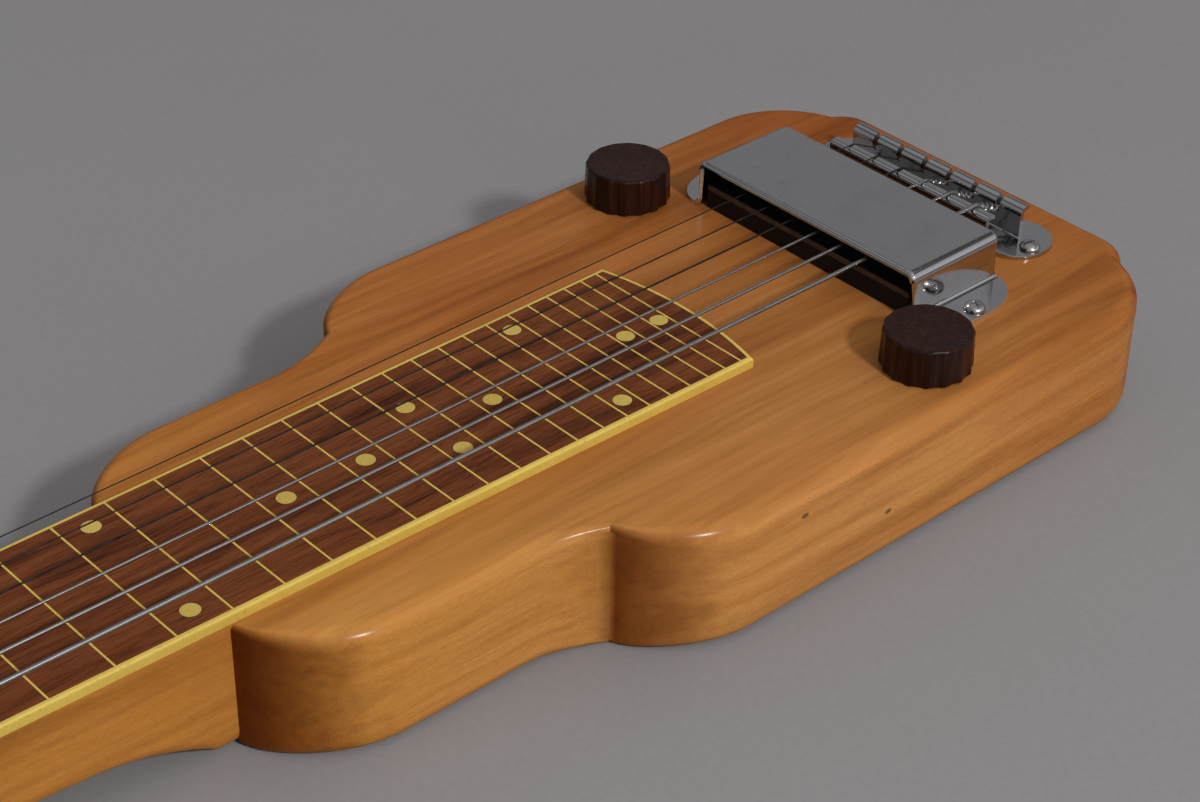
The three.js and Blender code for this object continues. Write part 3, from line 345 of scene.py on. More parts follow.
# Values that many pieces share: chamfer of small turned parts, a full turn, steps round a circle,
# how far a cutter reaches past the surface it cuts, and the angle from which an edge is sharp
CHAMFER = 0.3
TURN = 2 * pi
ROUND = 48
OVER = 3
CREASE = radians(35)

# In metres: the distance under which points merge, and half the floor's width
MERGE = 0.000002
FLOOR_HALF = 9.0

# Bands in one unit of a wave texture whose scale is 1
WAVES_AT_SCALE_ONE = 20 / TURN


# Camera and light

def make_camera():
    camera = bpy.data.objects.new("camera", bpy.data.cameras.new("camera"))
    bpy.context.collection.objects.link(camera)
    columns = [Vector(CAMERA_RIGHT), -Vector(CAMERA_DOWN), -Vector(CAMERA_FORWARD)]
    turn = Matrix([[column[row] for column in columns] for row in range(3)]).to_4x4()
    camera.matrix_world = Matrix.Translation(CAMERA_PLACE) @ turn
    camera.data.sensor_fit = "HORIZONTAL"
    camera.data.sensor_width = SENSOR
    camera.data.lens = LENS
    bpy.context.scene.camera = camera


def make_lamp(name, spot, aim, size, power, colour, mirrored):
    lamp = bpy.data.lights.new(name, "AREA")
    lamp.shape = "RECTANGLE"
    lamp.size, lamp.size_y = size
    lamp.energy = power
    lamp.color = colour
    holder = bpy.data.objects.new(name, lamp)
    bpy.context.collection.objects.link(holder)
    holder.location = spot
    holder.rotation_mode = "QUATERNION"
    holder.rotation_quaternion = (Vector(aim) - Vector(spot)).to_track_quat("-Z", "Y")
    holder.visible_glossy = mirrored


class Nodes:
    """Adds shader nodes to one node tree."""

    def __init__(self, tree):
        self.tree = tree

    def node(self, kind, inputs=(), **settings):
        """New node with its settings made and its inputs fed."""
        node = self.tree.nodes.new("ShaderNode" + kind)
        for key, value in settings.items():
            setattr(node, key, value)
        for key, value in dict(inputs).items():
            self.feed(node.inputs[key], value)
        return node

    def feed(self, socket, value):
        if isinstance(value, bpy.types.NodeSocket):
            self.tree.links.new(value, socket)
        else:
            socket.default_value = value

    def axes(self, vector):
        return self.node("SeparateXYZ", {0: vector}).outputs

    def ramp(self, value, *stops):
        node = self.node("ValToRGB", {"Fac": value})
        elements = node.color_ramp.elements
        while len(elements) < len(stops):
            elements.new(0.5)
        for element, (position, colour) in zip(elements, stops):
            element.position = position
            element.color = (*colour, 1) if isinstance(colour, tuple) else (colour, colour, colour, 1)
        return node.outputs["Color"]

    def span(self, value, low, high, start=0.0, end=1.0):
        inputs = {"Value": value, "From Min": low, "From Max": high, "To Min": start, "To Max": end}
        return self.node("MapRange", inputs).outputs["Result"]

    def math(self, operation, first, second=0.0):
        return self.node("Math", {0: first, 1: second}, operation=operation).outputs[0]

    def times(self, first, second):
        return self.math("MULTIPLY", first, second)


def make_world():
    world = bpy.data.worlds.new("studio")
    bpy.context.scene.world = world
    world.use_nodes = True
    w = Nodes(world.node_tree)
    light = w.tree.nodes["Background"]
    light.inputs["Color"].default_value = WORLD_COLOUR
    light.inputs["Strength"].default_value = WORLD_LIGHT
    way = w.axes(w.node("TexCoord").outputs["Generated"])
    bands = [(level, (shade, shade * 0.98, shade * 1.01)) for level, shade in WORLD_BANDS]
    shades = {"Color": w.ramp(way["Z"], *bands), "Strength": w.span(way["Y"], *WORLD_FRONT)}
    seen = w.node("Background", shades)
    path = w.node("LightPath").outputs
    share = w.math("MAXIMUM", path["Is Camera Ray"], path["Is Glossy Ray"])
    mix = w.node("MixShader", {"Fac": share, 1: light.outputs[0], 2: seen.outputs[0]})
    w.feed(w.tree.nodes["World Output"].inputs["Surface"], mix.outputs[0])


# Finishes

SOCKETS = {
    "metallic": "Metallic", "roughness": "Roughness", "specular": "Specular IOR Level",
    "coat": "Coat Weight", "coat_roughness": "Coat Roughness", "sub": "Subsurface Weight",
}


class Finish(Nodes):
    """One material: a Principled shader with the textures that feed it."""

    def __init__(self, name, **constants):
        self.material = bpy.data.materials.new(name)
        self.material.use_nodes = True
        super().__init__(self.material.node_tree)
        self.shader = self.tree.nodes["Principled BSDF"]
        for key, value in constants.items():
            self.shader.inputs[SOCKETS[key]].default_value = value
        self.places = self.node("TexCoord").outputs["Object"]
        self.normal = None

    def texture(self, kind, scale, source=None, **settings):
        """Texture node whose scale is one number, or one for each axis."""
        inputs = {"Vector": source or self.places, "Scale": scale}
        if isinstance(scale, tuple):
            inputs = {"Vector": self.node("Mapping", inputs).outputs[0], "Scale": 1}
        return self.node("Tex" + kind, inputs, **settings)

    def noise(self, scale, detail=4.0, roughness=0.55, distortion=0.0, source=None):
        node = self.texture("Noise", scale, source)
        for key, value in (("Detail", detail), ("Roughness", roughness), ("Distortion", distortion)):
            node.inputs[key].default_value = value
        return node.outputs["Fac"]

    def waves(self, scale, axis="X"):
        return self.texture("Wave", scale, wave_type="BANDS", bands_direction=axis).outputs["Fac"]

    def cells(self, scale):
        outputs = self.texture("Voronoi", scale).outputs
        return outputs["Distance"], outputs["Color"]

    def mix(self, share, first, second, blend="MIX"):
        colours = [(*colour, 1) if isinstance(colour, tuple) else colour for colour in (first, second)]
        inputs = {"Factor": share, 6: colours[0], 7: colours[1]}
        return self.node("Mix", inputs, data_type="RGBA", blend_type=blend).outputs[2]

    def tint(self, share, colour, factor):
        return self.mix(share, colour, factor, "MULTIPLY")

    def shade(self, colour, value, *stops):
        return self.tint(1.0, colour, self.ramp(value, *stops))

    def level(self, axis):
        """How far a face looks along an axis, either way."""
        return self.math("ABSOLUTE", self.axes(self.node("NewGeometry").outputs["Normal"])[axis])

    def colour(self, output):
        self.feed(self.shader.inputs["Base Color"], output)

    def roughness(self, output):
        self.feed(self.shader.inputs["Roughness"], output)

    def bump(self, height, strength, depth, coat=False):
        node = self.node("Bump", {"Height": height, "Strength": strength, "Distance": depth * MM})
        if self.normal:
            self.feed(node.inputs["Normal"], self.normal)
        self.normal = node.outputs[0]
        self.feed(self.shader.inputs["Normal"], self.normal)
        if coat:
            self.feed(self.shader.inputs["Coat Normal"], self.normal)

    def wander(self, scale, reach):
        """Places that drift slowly across the grain, so that its lines aren't straight."""
        inputs = {0: self.noise(scale, 2), 1: (0, reach, reach), 2: self.places}
        return self.node("VectorMath", inputs, operation="MULTIPLY_ADD").outputs[0]


MAPLE_FIGURE = ((0.28, (0.258, 0.092, 0.0220)), (0.46, (0.386, 0.159, 0.0420)),
                (0.56, (0.433, 0.189, 0.0550)), (0.75, (0.326, 0.120, 0.0300)))
ROSEWOOD_FIGURE = ((0.32, (0.052, 0.0130, 0.0050)), (0.45, (0.136, 0.0355, 0.0100)),
                   (0.6, (0.174, 0.0500, 0.0145)), (0.76, (0.086, 0.0235, 0.0075)))


def maple_grain(f, streaks, fibres, broad):
    """Colour of fresh maple: broad figure, streaks, fibres, amber clouds and pale clouds."""
    base = f.ramp(broad, *MAPLE_FIGURE)
    base = f.shade(base, streaks, (0.3, 0.78), (0.52, 1.0), (0.75, 1.08))
    base = f.shade(base, fibres, (0.3, 0.9), (0.6, 1.02))
    base = f.mix(f.span(f.noise(9, 3, 0.6), 0.42, 0.68, 0, 0.25), base, (0.34, 0.108, 0.020))
    return f.mix(f.span(f.noise((7, 16, 16), 2, 0.5), 0.52, 0.75, 0, 0.22), base, (0.46, 0.205, 0.060))


def painted_light_and_end_grain(f, base, sides):
    """Painted light and shade on the maple: the far side and the tail darker, the front part and the side
    walls lighter, the side walls near the front darker and warmer, and the faces along X darker, as end
    grain and painted shade.
    """
    spot = f.axes(f.places)
    left = f.span(spot["X"], 0.16, 0.04)
    ends = f.times(f.span(f.level("X"), 0.3, 0.9), f.span(spot["X"], -0.23, -0.1, 0.3, 1.0))
    left_sides = f.times(sides, left)
    # Painted light and shade: each share tints the maple by its factor, darker on the far side, the tail and
    # the faces along X, lighter at the front and on the side walls
    for share, factor in (
        (f.span(spot["Y"], -0.05, 0.06), (0.86, 0.71, 0.63)),
        (f.span(spot["X"], 0.27, 0.37), (0.77, 0.64, 0.52)),
        (f.span(spot["X"], 0.20, 0.07), (1.18, 1.27, 1.08)),
        (ends, (0.36, 0.22, 0.10)),
        (f.times(ends, left), (0.76, 0.65, 0.48)),
        (f.math("SUBTRACT", sides, left_sides), (1.2, 1.25, 1.3)),
        (left_sides, (0.95, 0.88, 0.72)),
    ):
        base = f.tint(share, base, factor)
    return base


def maple():
    f = Finish("maple_lacquer", coat=0.25, coat_roughness=0.2, roughness=0.55, specular=0.0)
    grain = f.wander((5, 14, 14), 0.012)
    broad = f.noise((5, 62, 62), 3, 0.6, 0.4, grain)
    streaks = f.noise((9, 330, 330), 4, 0.62, source=grain)
    fibres = f.noise((70, 2600, 2600), 2, 0.5, source=grain)
    sides = f.span(f.level("Z"), 0.3, 0.6, 1.0, 0.0)
    # Painted light and shade over the grain, with darker end grain
    base = painted_light_and_end_grain(f, maple_grain(f, streaks, fibres, broad), sides)
    flecks = f.noise((520, 4200, 4200), 2, 0.6)
    base = f.tint(f.times(sides, 0.6), base, f.ramp(flecks, (0.38, 0.86), (0.6, 1.12)))
    near, chance = f.cells((34, 60, 60))
    dent = f.times(f.span(near, 0.035, 0.06, 1, 0), f.span(chance, 0.74, 0.76))
    f.colour(f.mix(f.times(dent, 0.75), base, (0.05, 0.022, 0.008)))
    f.roughness(f.span(streaks, 0.3, 0.7, 0.46, 0.34))
    f.bump(fibres, 0.06, 0.05)
    f.bump(f.math("ADD", f.noise(55, 3), f.times(dent, -1.6)), 0.16, 0.5, coat=True)
    return f.material


def rosewood():
    f = Finish("rosewood", roughness=0.6, specular=0.12)
    grain = f.wander((8, 20, 20), 0.01)
    broad = f.noise((9, 150, 150), 4, 0.62, 0.3, grain)
    pores = f.noise((90, 2100, 2100), 3, 0.6, source=grain)
    base = f.ramp(broad, *ROSEWOOD_FIGURE)
    f.colour(f.shade(base, pores, (0.34, 0.5), (0.5, 1.0), (0.8, 1.15)))
    f.roughness(f.span(pores, 0.35, 0.6, 0.8, 0.55))
    f.bump(f.ramp(pores, (0.36, 0.0), (0.5, 1.0)), 0.35, 0.12)
    return f.material


def celluloid(name, base, stain):
    """Aged plastic, with painted shade that makes its upright faces darker and warmer."""
    f = Finish(name, roughness=0.35, specular=0.3, sub=0.05)
    cloud = f.noise((30, 60, 60), 4, 0.6)
    speck = f.noise(900, 3, 0.6)
    colour = f.mix(f.span(cloud, 0.38, 0.7, 0.0, 0.75), base, stain)
    colour = f.shade(colour, speck, (0.28, 0.74), (0.42, 1.0))
    # Painted shade: upright faces tinted darker and warmer
    f.colour(f.tint(f.span(f.level("Z"), 0.2, 0.7, 1.0, 0.0), colour, (0.95, 0.9, 0.8)))
    f.roughness(f.span(cloud, 0.3, 0.7, 0.28, 0.48))
    f.bump(speck, 0.1, 0.08)
    return f.material


def metal(name, base, dull, shine, blur, pits=0.5, brushed=None):
    """Metal with dull spots and haze, its roughness between shine and blur."""
    f = Finish(name, metallic=1.0, roughness=shine)
    haze = f.noise(70, 4, 0.65)
    near, chance = f.cells(520)
    spot = f.times(f.span(near, 0.10, 0.22, 1, 0), f.span(chance, 0.62, 0.7))
    colour = f.mix(f.times(spot, pits), base, dull)
    f.colour(f.mix(f.span(haze, 0.5, 0.8, 0, 0.35), colour, dull))
    f.roughness(f.math("ADD", f.span(haze, 0.3, 0.75, shine, blur), f.times(spot, 0.25)))
    if brushed:
        f.bump(f.noise(brushed, 3, 0.6), 0.08, 0.05)
    f.bump(f.math("SUBTRACT", f.noise(60, 2), f.times(spot, 0.5)), 0.05, 0.2)
    return f.material


def string_wire(name, base, dull, shine, winding=0.0):
    """Wire of a string, plain or wound with the given pitch."""
    f = Finish(name, metallic=1.0, roughness=shine)
    grime = f.noise((240, 900, 900), 3, 0.6)
    f.colour(f.mix(f.span(grime, 0.4, 0.7), base, dull))
    f.roughness(f.span(grime, 0.35, 0.7, shine, shine + 0.12))
    if winding:
        f.bump(f.waves(1 / (WAVES_AT_SCALE_ONE * winding * MM)), 0.12, 0.05)
    else:
        f.bump(grime, 0.1, 0.03)
    return f.material


def moulded(name, base, streak, shine, stretch, coat=0.0, specular=0.5):
    f = Finish(name, roughness=shine, specular=specular, coat=coat, coat_roughness=0.06)
    f.colour(f.mix(f.span(f.noise(stretch, 5, 0.62, 0.8), 0.45, 0.72), base, streak))
    scuff = f.noise(160, 4, 0.6)
    f.roughness(f.span(scuff, 0.35, 0.75, shine, shine + 0.14))
    f.bump(scuff, 0.06, 0.15)
    return f.material


def coil_wire():
    f = Finish("copper_winding", metallic=0.7, roughness=0.4)
    turns = f.waves(520, "Z")
    f.colour(f.ramp(turns, (0.2, (0.16, 0.05, 0.02)), (0.8, (0.5, 0.2, 0.09))))
    f.roughness(f.span(turns, 0, 1, 0.5, 0.35))
    f.bump(turns, 0.5, 0.1)
    return f.material


def floor_paper():
    f = Finish("floor_paper", roughness=0.75, specular=0.2)
    cloud = f.noise(2.2, 4, 0.6)
    grit = f.noise(420, 3, 0.6)
    colour = f.ramp(cloud, (0.3, (0.264, 0.259, 0.269)), (0.7, (0.288, 0.282, 0.292)))
    colour = f.shade(colour, grit, (0.3, 0.96), (0.7, 1.03))
    # Painted light: the floor tinted darker along X minus Y, down to 0.86 of its tone
    spot = f.axes(f.places)
    across = f.math("SUBTRACT", spot["X"], spot["Y"])
    f.colour(f.tint(f.span(across, -0.7, 0.6), colour, (0.86, 0.86, 0.86)))
    f.roughness(f.span(cloud, 0.3, 0.7, 0.68, 0.82))
    f.bump(grit, 0.05, 0.1)
    return f.material


# Forms: lists of points and faces in millimetres

class Form:
    """Points and faces, each face tagged with the number of its finish."""

    def __init__(self, *parts):
        self.points, self.faces, self.tags = [], [], []
        for points, faces in parts:
            self.add(points, faces)

    def add(self, points, faces, tag=0):
        start = len(self.points)
        self.points += [Vector(p) for p in points]
        self.faces += [[start + k for k in face] for face in faces]
        self.tags += [tag] * len(faces)

    def join(self, form, tag=0):
        self.add(form.points, form.faces, tag)

    def moved(self, matrix):
        self.points = [matrix @ p for p in self.points]
        return self


def skin(rows, ends=True, around=True):
    """Faces between rows of points of one length, each row closed where around is true."""
    count = len(rows[0])
    faces = []
    for r in range(len(rows) - 1):
        for k in range(count if around else count - 1):
            a, b = r * count + k, r * count + (k + 1) % count
            faces.append([a, b, b + count, a + count])
    if ends:
        last = (len(rows) - 1) * count
        faces += [list(range(count))[::-1], list(range(last, last + count))]
    return [p for row in rows for p in row], faces


def prism(outline, low, high):
    return skin([[(x, y, z) for x, y in outline] for z in (low, high)])


def across(outline, low, high):
    """Prism along Y of an outline in X and Z."""
    return skin([[(x, y, z) for x, z in outline] for y in (low, high)])


def box(x, y, z):
    return prism([(x[0], y[0]), (x[1], y[0]), (x[1], y[1]), (x[0], y[1])], *z)


def ring(radius, level, count=ROUND):
    """Closed row of points round Z. The radius is a number or a function of the angle."""
    reach = radius if callable(radius) else lambda a: radius
    angles = [TURN * k / count for k in range(count)]
    return [(reach(a) * cos(a), reach(a) * sin(a), level) for a in angles]


def lathe(profile, sides=ROUND):
    closed = profile[0] == profile[-1]
    rows = [ring(radius, level, sides) for radius, level in profile]
    return skin(rows, ends=not closed and profile[0][0] > 0)


def turned(profile, matrix=Matrix(), sides=ROUND):
    return Form(lathe(profile, sides)).moved(matrix)


def rod(radius, low, high, matrix=Matrix(), sides=ROUND):
    """Cylinder that stands on Z until the matrix moves it."""
    return turned([(0, low), (radius, low), (radius, high), (0, high)], matrix, sides)


def arc(centre, radius, start, end, steps):
    turns = [start + (end - start) * k / steps for k in range(steps + 1)]
    return [(centre[0] + radius * cos(t), centre[1] + radius * sin(t)) for t in turns]


def quarter(steps):
    return [pi / 2 * k / steps for k in range(steps + 1)]


def eased(enter, here, leave, steps):
    """Curve that rounds the corner at here."""
    shares = [k / steps for k in range(steps + 1)]
    return [enter * (1 - t) ** 2 + here * (2 * t * (1 - t)) + leave * t ** 2 for t in shares]


def rounded_rim(radius, top, edge):
    """Eased upper edge of a turned part, from pairs of inset and drop."""
    return [(radius - inset, top - drop) for inset, drop in edge]


def tube(path, radius, sides):
    """Round tube along a path, its frame carried from row to row without twist."""
    points = [Vector(p) for p in path]
    angles = [TURN * n / sides for n in range(sides)]
    rows = []
    up = Vector((0, 0, 1))
    for k, point in enumerate(points):
        before, after = points[max(k - 1, 0)], points[min(k + 1, len(points) - 1)]
        along = (after - before).normalized()
        side = along.cross(up).normalized()
        up = side.cross(along).normalized()
        rows.append([point + side * (radius * cos(a)) + up * (radius * sin(a)) for a in angles])
    return skin(rows)


def shifted(x, y, z=0):
    return Matrix.Translation((x, y, z))


def place(p):
    return Vector(((p[0] + SADDLE) * MM, p[1] * MM, p[2] * MM))


# Pieces

def bare_object(name, form):
    mesh = bpy.data.meshes.new(name)
    mesh.from_pydata([place(p) for p in form.points], [], form.faces)
    mesh.polygons.foreach_set("material_index", form.tags)
    work = bmesh.new()
    work.from_mesh(mesh)
    bmesh.ops.remove_doubles(work, verts=work.verts, dist=MERGE)
    bmesh.ops.dissolve_degenerate(work, edges=work.edges, dist=MERGE)
    bmesh.ops.recalc_face_normals(work, faces=work.faces)
    work.to_mesh(mesh)
    work.free()
    obj = bpy.data.objects.new(name, mesh)
    bpy.context.collection.objects.link(obj)
    return obj


def bake(obj):
    """Puts the result of the object's modifiers in place of its mesh."""
    graph = bpy.context.evaluated_depsgraph_get()
    old = obj.data
    fresh = bpy.data.meshes.new_from_object(obj.evaluated_get(graph))
    obj.modifiers.clear()
    obj.data = fresh
    bpy.data.meshes.remove(old)
    fresh.name = obj.name


def combine(obj, operation, form):
    tool = bare_object("tool", form)
    step = obj.modifiers.new("combine", "BOOLEAN")
    step.operation = operation
    step.solver = "EXACT"
    step.object = tool
    bake(obj)
    bpy.data.objects.remove(tool)


def finished(obj, finishes, slot, body="base", nodes=(), soften=0.0, steps=2):
    """Gives a piece its finishes, softened edges, body and the CAD nodes that it stands for. The slot is not
    used.
    """
    tags = [face.material_index for face in obj.data.polygons]
    obj.data.materials.clear()
    for finish in finishes if isinstance(finishes, list) else [finishes]:
        obj.data.materials.append(finish)
    obj.data.polygons.foreach_set("material_index", tags)
    obj.data.polygons.foreach_set("use_smooth", [True] * len(obj.data.polygons))
    obj.data.set_sharp_from_angle(angle=CREASE)
    if soften:
        bevel = obj.modifiers.new("soften", "BEVEL")
        bevel.width = soften * MM
        bevel.segments = steps
        bevel.limit_method = "ANGLE"
        bevel.angle_limit = CREASE
    even = obj.modifiers.new("even", "WEIGHTED_NORMAL")
    even.keep_sharp = True
    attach(obj, body)
    if nodes:
        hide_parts(*nodes)


def make(name, form, finishes, slot, **settings):
    finished(bare_object(name, form), finishes, slot, **settings)


# Body

def taper(x):
    return BOARD_HALF_AT_SADDLE + (BOARD_HALF_AT_NUT - BOARD_HALF_AT_SADDLE) * -x / SCALE


def neck_half(x):
    return taper(x) + BINDING + NECK_REVEAL


def fret_x(fret):
    return NUT_X * 2 ** (-fret / 12)


def string_y(x, index):
    spacing = SPACING_AT_SADDLE + (SPACING_AT_NUT - SPACING_AT_SADDLE) * -x / SCALE
    return ((len(GAUGES) - 1) / 2 - index) * spacing


def crossing(a, b, toward):
    """Point where two circles (centre, radius) cross, the one farther along the given direction."""
    (ca, ra), (cb, rb) = a, b
    span = Vector(cb) - Vector(ca)
    along = (ra ** 2 - rb ** 2 + span.length ** 2) / (2 * span.length)
    off = sqrt(max(ra ** 2 - along ** 2, 0))
    unit = span.normalized()
    side = Vector((-unit.y, unit.x))
    sign = 1 if side.dot(Vector(toward)) > 0 else -1
    return Vector(ca) + unit * along + side * (off * sign)


def bearing(circle, p):
    """Angle of a point as seen from a circle's centre."""
    return atan2(p.y - circle[0][1], p.x - circle[0][0])


def edge_walk():
    """Half of the body's outline on the treble side: points, outward directions, radii of the rim."""
    shoulder = ((SHOULDER_TURN, SHOULDER_HALF - LOBE), LOBE)
    flare = ((FLARE_START, SHOULDER_HALF + FLARE), FLARE)
    bout = ((BOUT_TURN, BOUT_HALF - LOBE), LOBE)
    tail = ((TAIL_TURN, BOUT_HALF - TAIL_LOBE), TAIL_LOBE)
    corner = ((TAIL_X - TAIL_CORNER, TAIL_BLOCK_HALF - TAIL_CORNER), TAIL_CORNER)
    rise = neck_half(SHOULDER_TURN - LOBE) - shoulder[0][1]
    step = crossing(flare, bout, (0, -1))
    notch = crossing(tail, corner, (1, 1))
    walk = []

    def run(circle, start, end, inward=False):
        steps = max(int(abs(end - start) / radians(3)), 2)
        for k in range(steps + 1):
            turn = start + (end - start) * k / steps
            way = Vector((cos(turn), sin(turn)))
            walk.append((Vector(circle[0]) + way * circle[1], -way if inward else way))

    def fan(p, turn):
        first, last = walk[-1][1], Vector((cos(turn), sin(turn)))
        steps = 8
        for k in range(1, steps):
            walk.append((p.copy(), first.lerp(last, k / steps).normalized()))

    front = first_step()
    walk += [(Vector((front, y)), Vector((-1, 0))) for y in (0, shoulder[0][1])]
    run(shoulder, pi - asin(rise / LOBE), pi / 2)
    run(flare, -pi / 2, bearing(flare, step), inward=True)
    fan(step, bearing(bout, step))
    run(bout, bearing(bout, step), pi / 2)
    run(tail, pi / 2, bearing(tail, notch))
    fan(notch, bearing(corner, notch))
    run(corner, bearing(corner, notch), 0)
    walk.append((Vector((TAIL_X, 0)), Vector((1, 0))))
    inner = [step, Vector((front, shoulder[0][1] + rise))]
    return [(p, n, edge_at(p, inner)) for p, n in walk]


def edge_at(p, corners):
    """Radius of the rounded rim at a place: smaller beside the body's inner corners."""
    near = min((p - corner).length for corner in corners)
    return EDGE - (EDGE - EDGE_AT_STEP) * exp(-(near / STEP_REACH) ** 2)


def first_step():
    """Place along X where the neck meets the first lobe."""
    rise = neck_half(SHOULDER_TURN - LOBE) - (SHOULDER_HALF - LOBE)
    return SHOULDER_TURN - sqrt(LOBE ** 2 - rise ** 2)


def slab():
    """Body without its neck: the half outline mirrored, its rims rounded above and below."""
    half = edge_walk()
    whole = half + [(Vector((p.x, -p.y)), Vector((n.x, -n.y)), edge) for p, n, edge in reversed(half)]
    low = [[(*(p - n * edge * (1 - sin(t))), edge * (1 - cos(t))) for p, n, edge in whole]
           for t in quarter(8)]
    high = [[(x, y, BODY_TOP - z) for x, y, z in row] for row in reversed(low)]
    return skin(low + high)


def neck_row(x, top, depth, corner):
    """Section across the neck, flat above and with round corners below."""
    half = neck_half(max(x, NUT_X))
    right = [(half, top)] + arc((half - corner, top - depth + corner), corner, 0, -pi / 2, 8)
    return [(x, y, z) for y, z in right + [(-y, z) for y, z in reversed(right)]]


def neck():
    rows = [
        neck_row(NUT_BACK - HEAD_RAMP - OVER, HEAD_TOP, HEAD_THICKNESS, HEAD_EDGE),
        neck_row(NUT_BACK - HEAD_RAMP, HEAD_TOP, HEAD_THICKNESS, NECK_CORNER),
        neck_row(NUT_BACK, BODY_TOP, NECK_DEPTH_AT_NUT, NECK_CORNER),
        neck_row(HEEL_START, BODY_TOP, NECK_DEPTH_AT_HEEL, NECK_CORNER),
    ]
    drop = BODY_TOP - NECK_DEPTH_AT_HEEL
    run = sqrt(HEEL ** 2 - (HEEL - drop) ** 2)
    steps = 16
    for k in range(1, steps + 1):
        here = run * k / steps
        depth = NECK_DEPTH_AT_HEEL + HEEL - sqrt(HEEL ** 2 - here ** 2)
        rows.append(neck_row(HEEL_START + here, BODY_TOP, depth, EDGE))
    rows.append(neck_row(first_step() + NECK_TONGUE, BODY_TOP, BODY_TOP, EDGE))
    return skin(rows)


def headstock():
    """Headstock that flares out behind the nut, its edges chamfered."""
    start, half = NUT_BACK - HEAD_RAMP + OVER, neck_half(NUT_X)
    outline = [(start, 0)]
    steps = 16
    for k in range(steps + 1):
        t = k / steps
        ease = t * t * (3 - 2 * t)
        outline.append((start - HEAD_FLARE * t, half + (HEAD_HALF - half) * ease))
    corner = (HEAD_END + HEAD_CORNER, HEAD_HALF - HEAD_CORNER)
    outline += arc(corner, HEAD_CORNER, pi / 2, pi, 12)
    whole = outline + [(x, -y) for x, y in reversed(outline[1:])]
    middle = Vector((start - HEAD_LENGTH / 2, 0))
    chamfer = [(HEAD_EDGE, 0), (HEAD_EDGE * 0.3, HEAD_EDGE * 0.3), (0, HEAD_EDGE)]
    chamfer += [(inset, HEAD_THICKNESS - level) for inset, level in reversed(chamfer)]
    rows = []
    for inset, level in chamfer:
        row = []
        for x, y in whole:
            gap = Vector((x, y)) - middle
            pull = 0 if x > start - 1 else inset / (HEAD_LENGTH / 2)
            inner = middle + Vector((gap.x * (1 - pull), gap.y * (1 - inset / HEAD_HALF)))
            row.append((*inner, HEAD_BOTTOM + level))
        rows.append(row)
    return skin(rows)


def cavity_outline(margin_x, margin_y):
    front, rear = CAVITY_FRONT - margin_x, CAVITY_REAR + margin_x
    bay, half, inner = BAY_REAR + margin_x, CAVITY_HALF + margin_y, BAY_INNER - margin_x
    corners = [(front, -half), (rear, -half), (rear, inner), (bay, inner), (bay, half), (front, half)]
    corners = [Vector(corner) for corner in corners]
    outline = []
    for k, here in enumerate(corners):
        before, after = corners[k - 1], corners[(k + 1) % len(corners)]
        enter = here + (before - here).normalized() * CAVITY_CORNER
        leave = here + (after - here).normalized() * CAVITY_CORNER
        outline += eased(enter, here, leave, 8)
    return outline


def toward_side(y):
    """Turns a form that stands on Z so that it points along +Y, at the jack's place."""
    return shifted(JACK_X, y, JACK_Z) @ Matrix.Rotation(-pi / 2, 4, "X")


def make_body(finish):
    body = bare_object("body_shell", Form(slab()))
    combine(body, "UNION", Form(neck()))
    combine(body, "UNION", Form(headstock()))
    rooms = Form(prism(cavity_outline(0, 0), -OVER, BODY_TOP - CAVITY_ROOF))
    x, (half_x, half_y) = POCKET_X, POCKET_HALF
    depths = (BODY_TOP - POCKET_DEPTH, BODY_TOP + OVER)
    rooms.add(*box((x - half_x, x + half_x), (-half_y, half_y), depths))
    recess = cavity_outline(PLATE_MARGIN_X + PLATE_GAP, PLATE_MARGIN_Y + PLATE_GAP)
    ways = Form(prism(recess, -OVER, PLATE_THICKNESS + PLATE_GAP))
    for side in SIDES.values():
        ways.join(rod(POT_HOLE, POT_HOLE_START, BODY_TOP + OVER, shifted(KNOB_X, side * KNOB_Y)))
        for post_x in POST_XS:
            spot = shifted(post_x, side * POST_ROW)
            rooms.join(rod(POST + RUNNING_GAP, HEAD_BOTTOM - OVER, HEAD_TOP + OVER, spot))
    web = toward_side(BOUT_HALF - JACK_RECESS_DEPTH)
    rooms.join(rod(JACK_RECESS, 0, JACK_RECESS_DRILL, web))
    combine(body, "DIFFERENCE", rooms)
    ways.join(rod(POT_HOLE, 0, WALL_DRILL, toward_side(CAVITY_HALF - OVER)))
    combine(body, "DIFFERENCE", ways)
    finished(body, finish, "maple", nodes=["body"])


# Fingerboard

def board_outline(margin):
    """Outline of the board with a margin all round, its rounded end fitted in a few rounds."""
    radius = BOARD_END + margin
    corner = fret_x(FRETS) + BOARD_END_MARGIN
    centre = corner - BOARD_END
    for _ in range(6):
        corner = centre + sqrt(radius ** 2 - (taper(corner) + margin) ** 2)
    reach = asin((taper(corner) + margin) / radius)
    half = [(NUT_X, taper(NUT_X) + margin)] + arc((centre, 0), radius, reach, 0, 24)
    return half + [(x, -y) for x, y in reversed(half[:-1])]


def binding_form():
    """Frame round the board, its outer top edge rounded, with the fret lines across it."""
    levels = [(BINDING_GAP, BODY_TOP), (BINDING, BODY_TOP)]
    levels += [(BINDING + inset, BOARD_TOP + z) for inset, z in
               arc((-BINDING_EDGE, -BINDING_EDGE), BINDING_EDGE, 0, pi / 2, 6)]
    levels += [(BINDING_GAP, BOARD_TOP), (BINDING_GAP, BODY_TOP)]
    rows = [[(x, y, z) for x, y in board_outline(margin)] for margin, z in levels]
    form = Form(skin(rows, ends=False, around=False))
    for end in (0, -1):
        form.add([row[end] for row in rows[:-1]], [list(range(len(rows) - 1))])
    for fret in range(1, FRETS + 1):
        x, half = fret_x(fret), FRET_LINE / 2 - FRET_LINE_TRIM
        reach = taper(x) + BINDING / 2
        heights = (BOARD_TOP - FRET_LINE_DEPTH, BOARD_TOP + LINE_RISE)
        form.add(*box((x - half, x + half), (-reach, reach), heights))
    return form


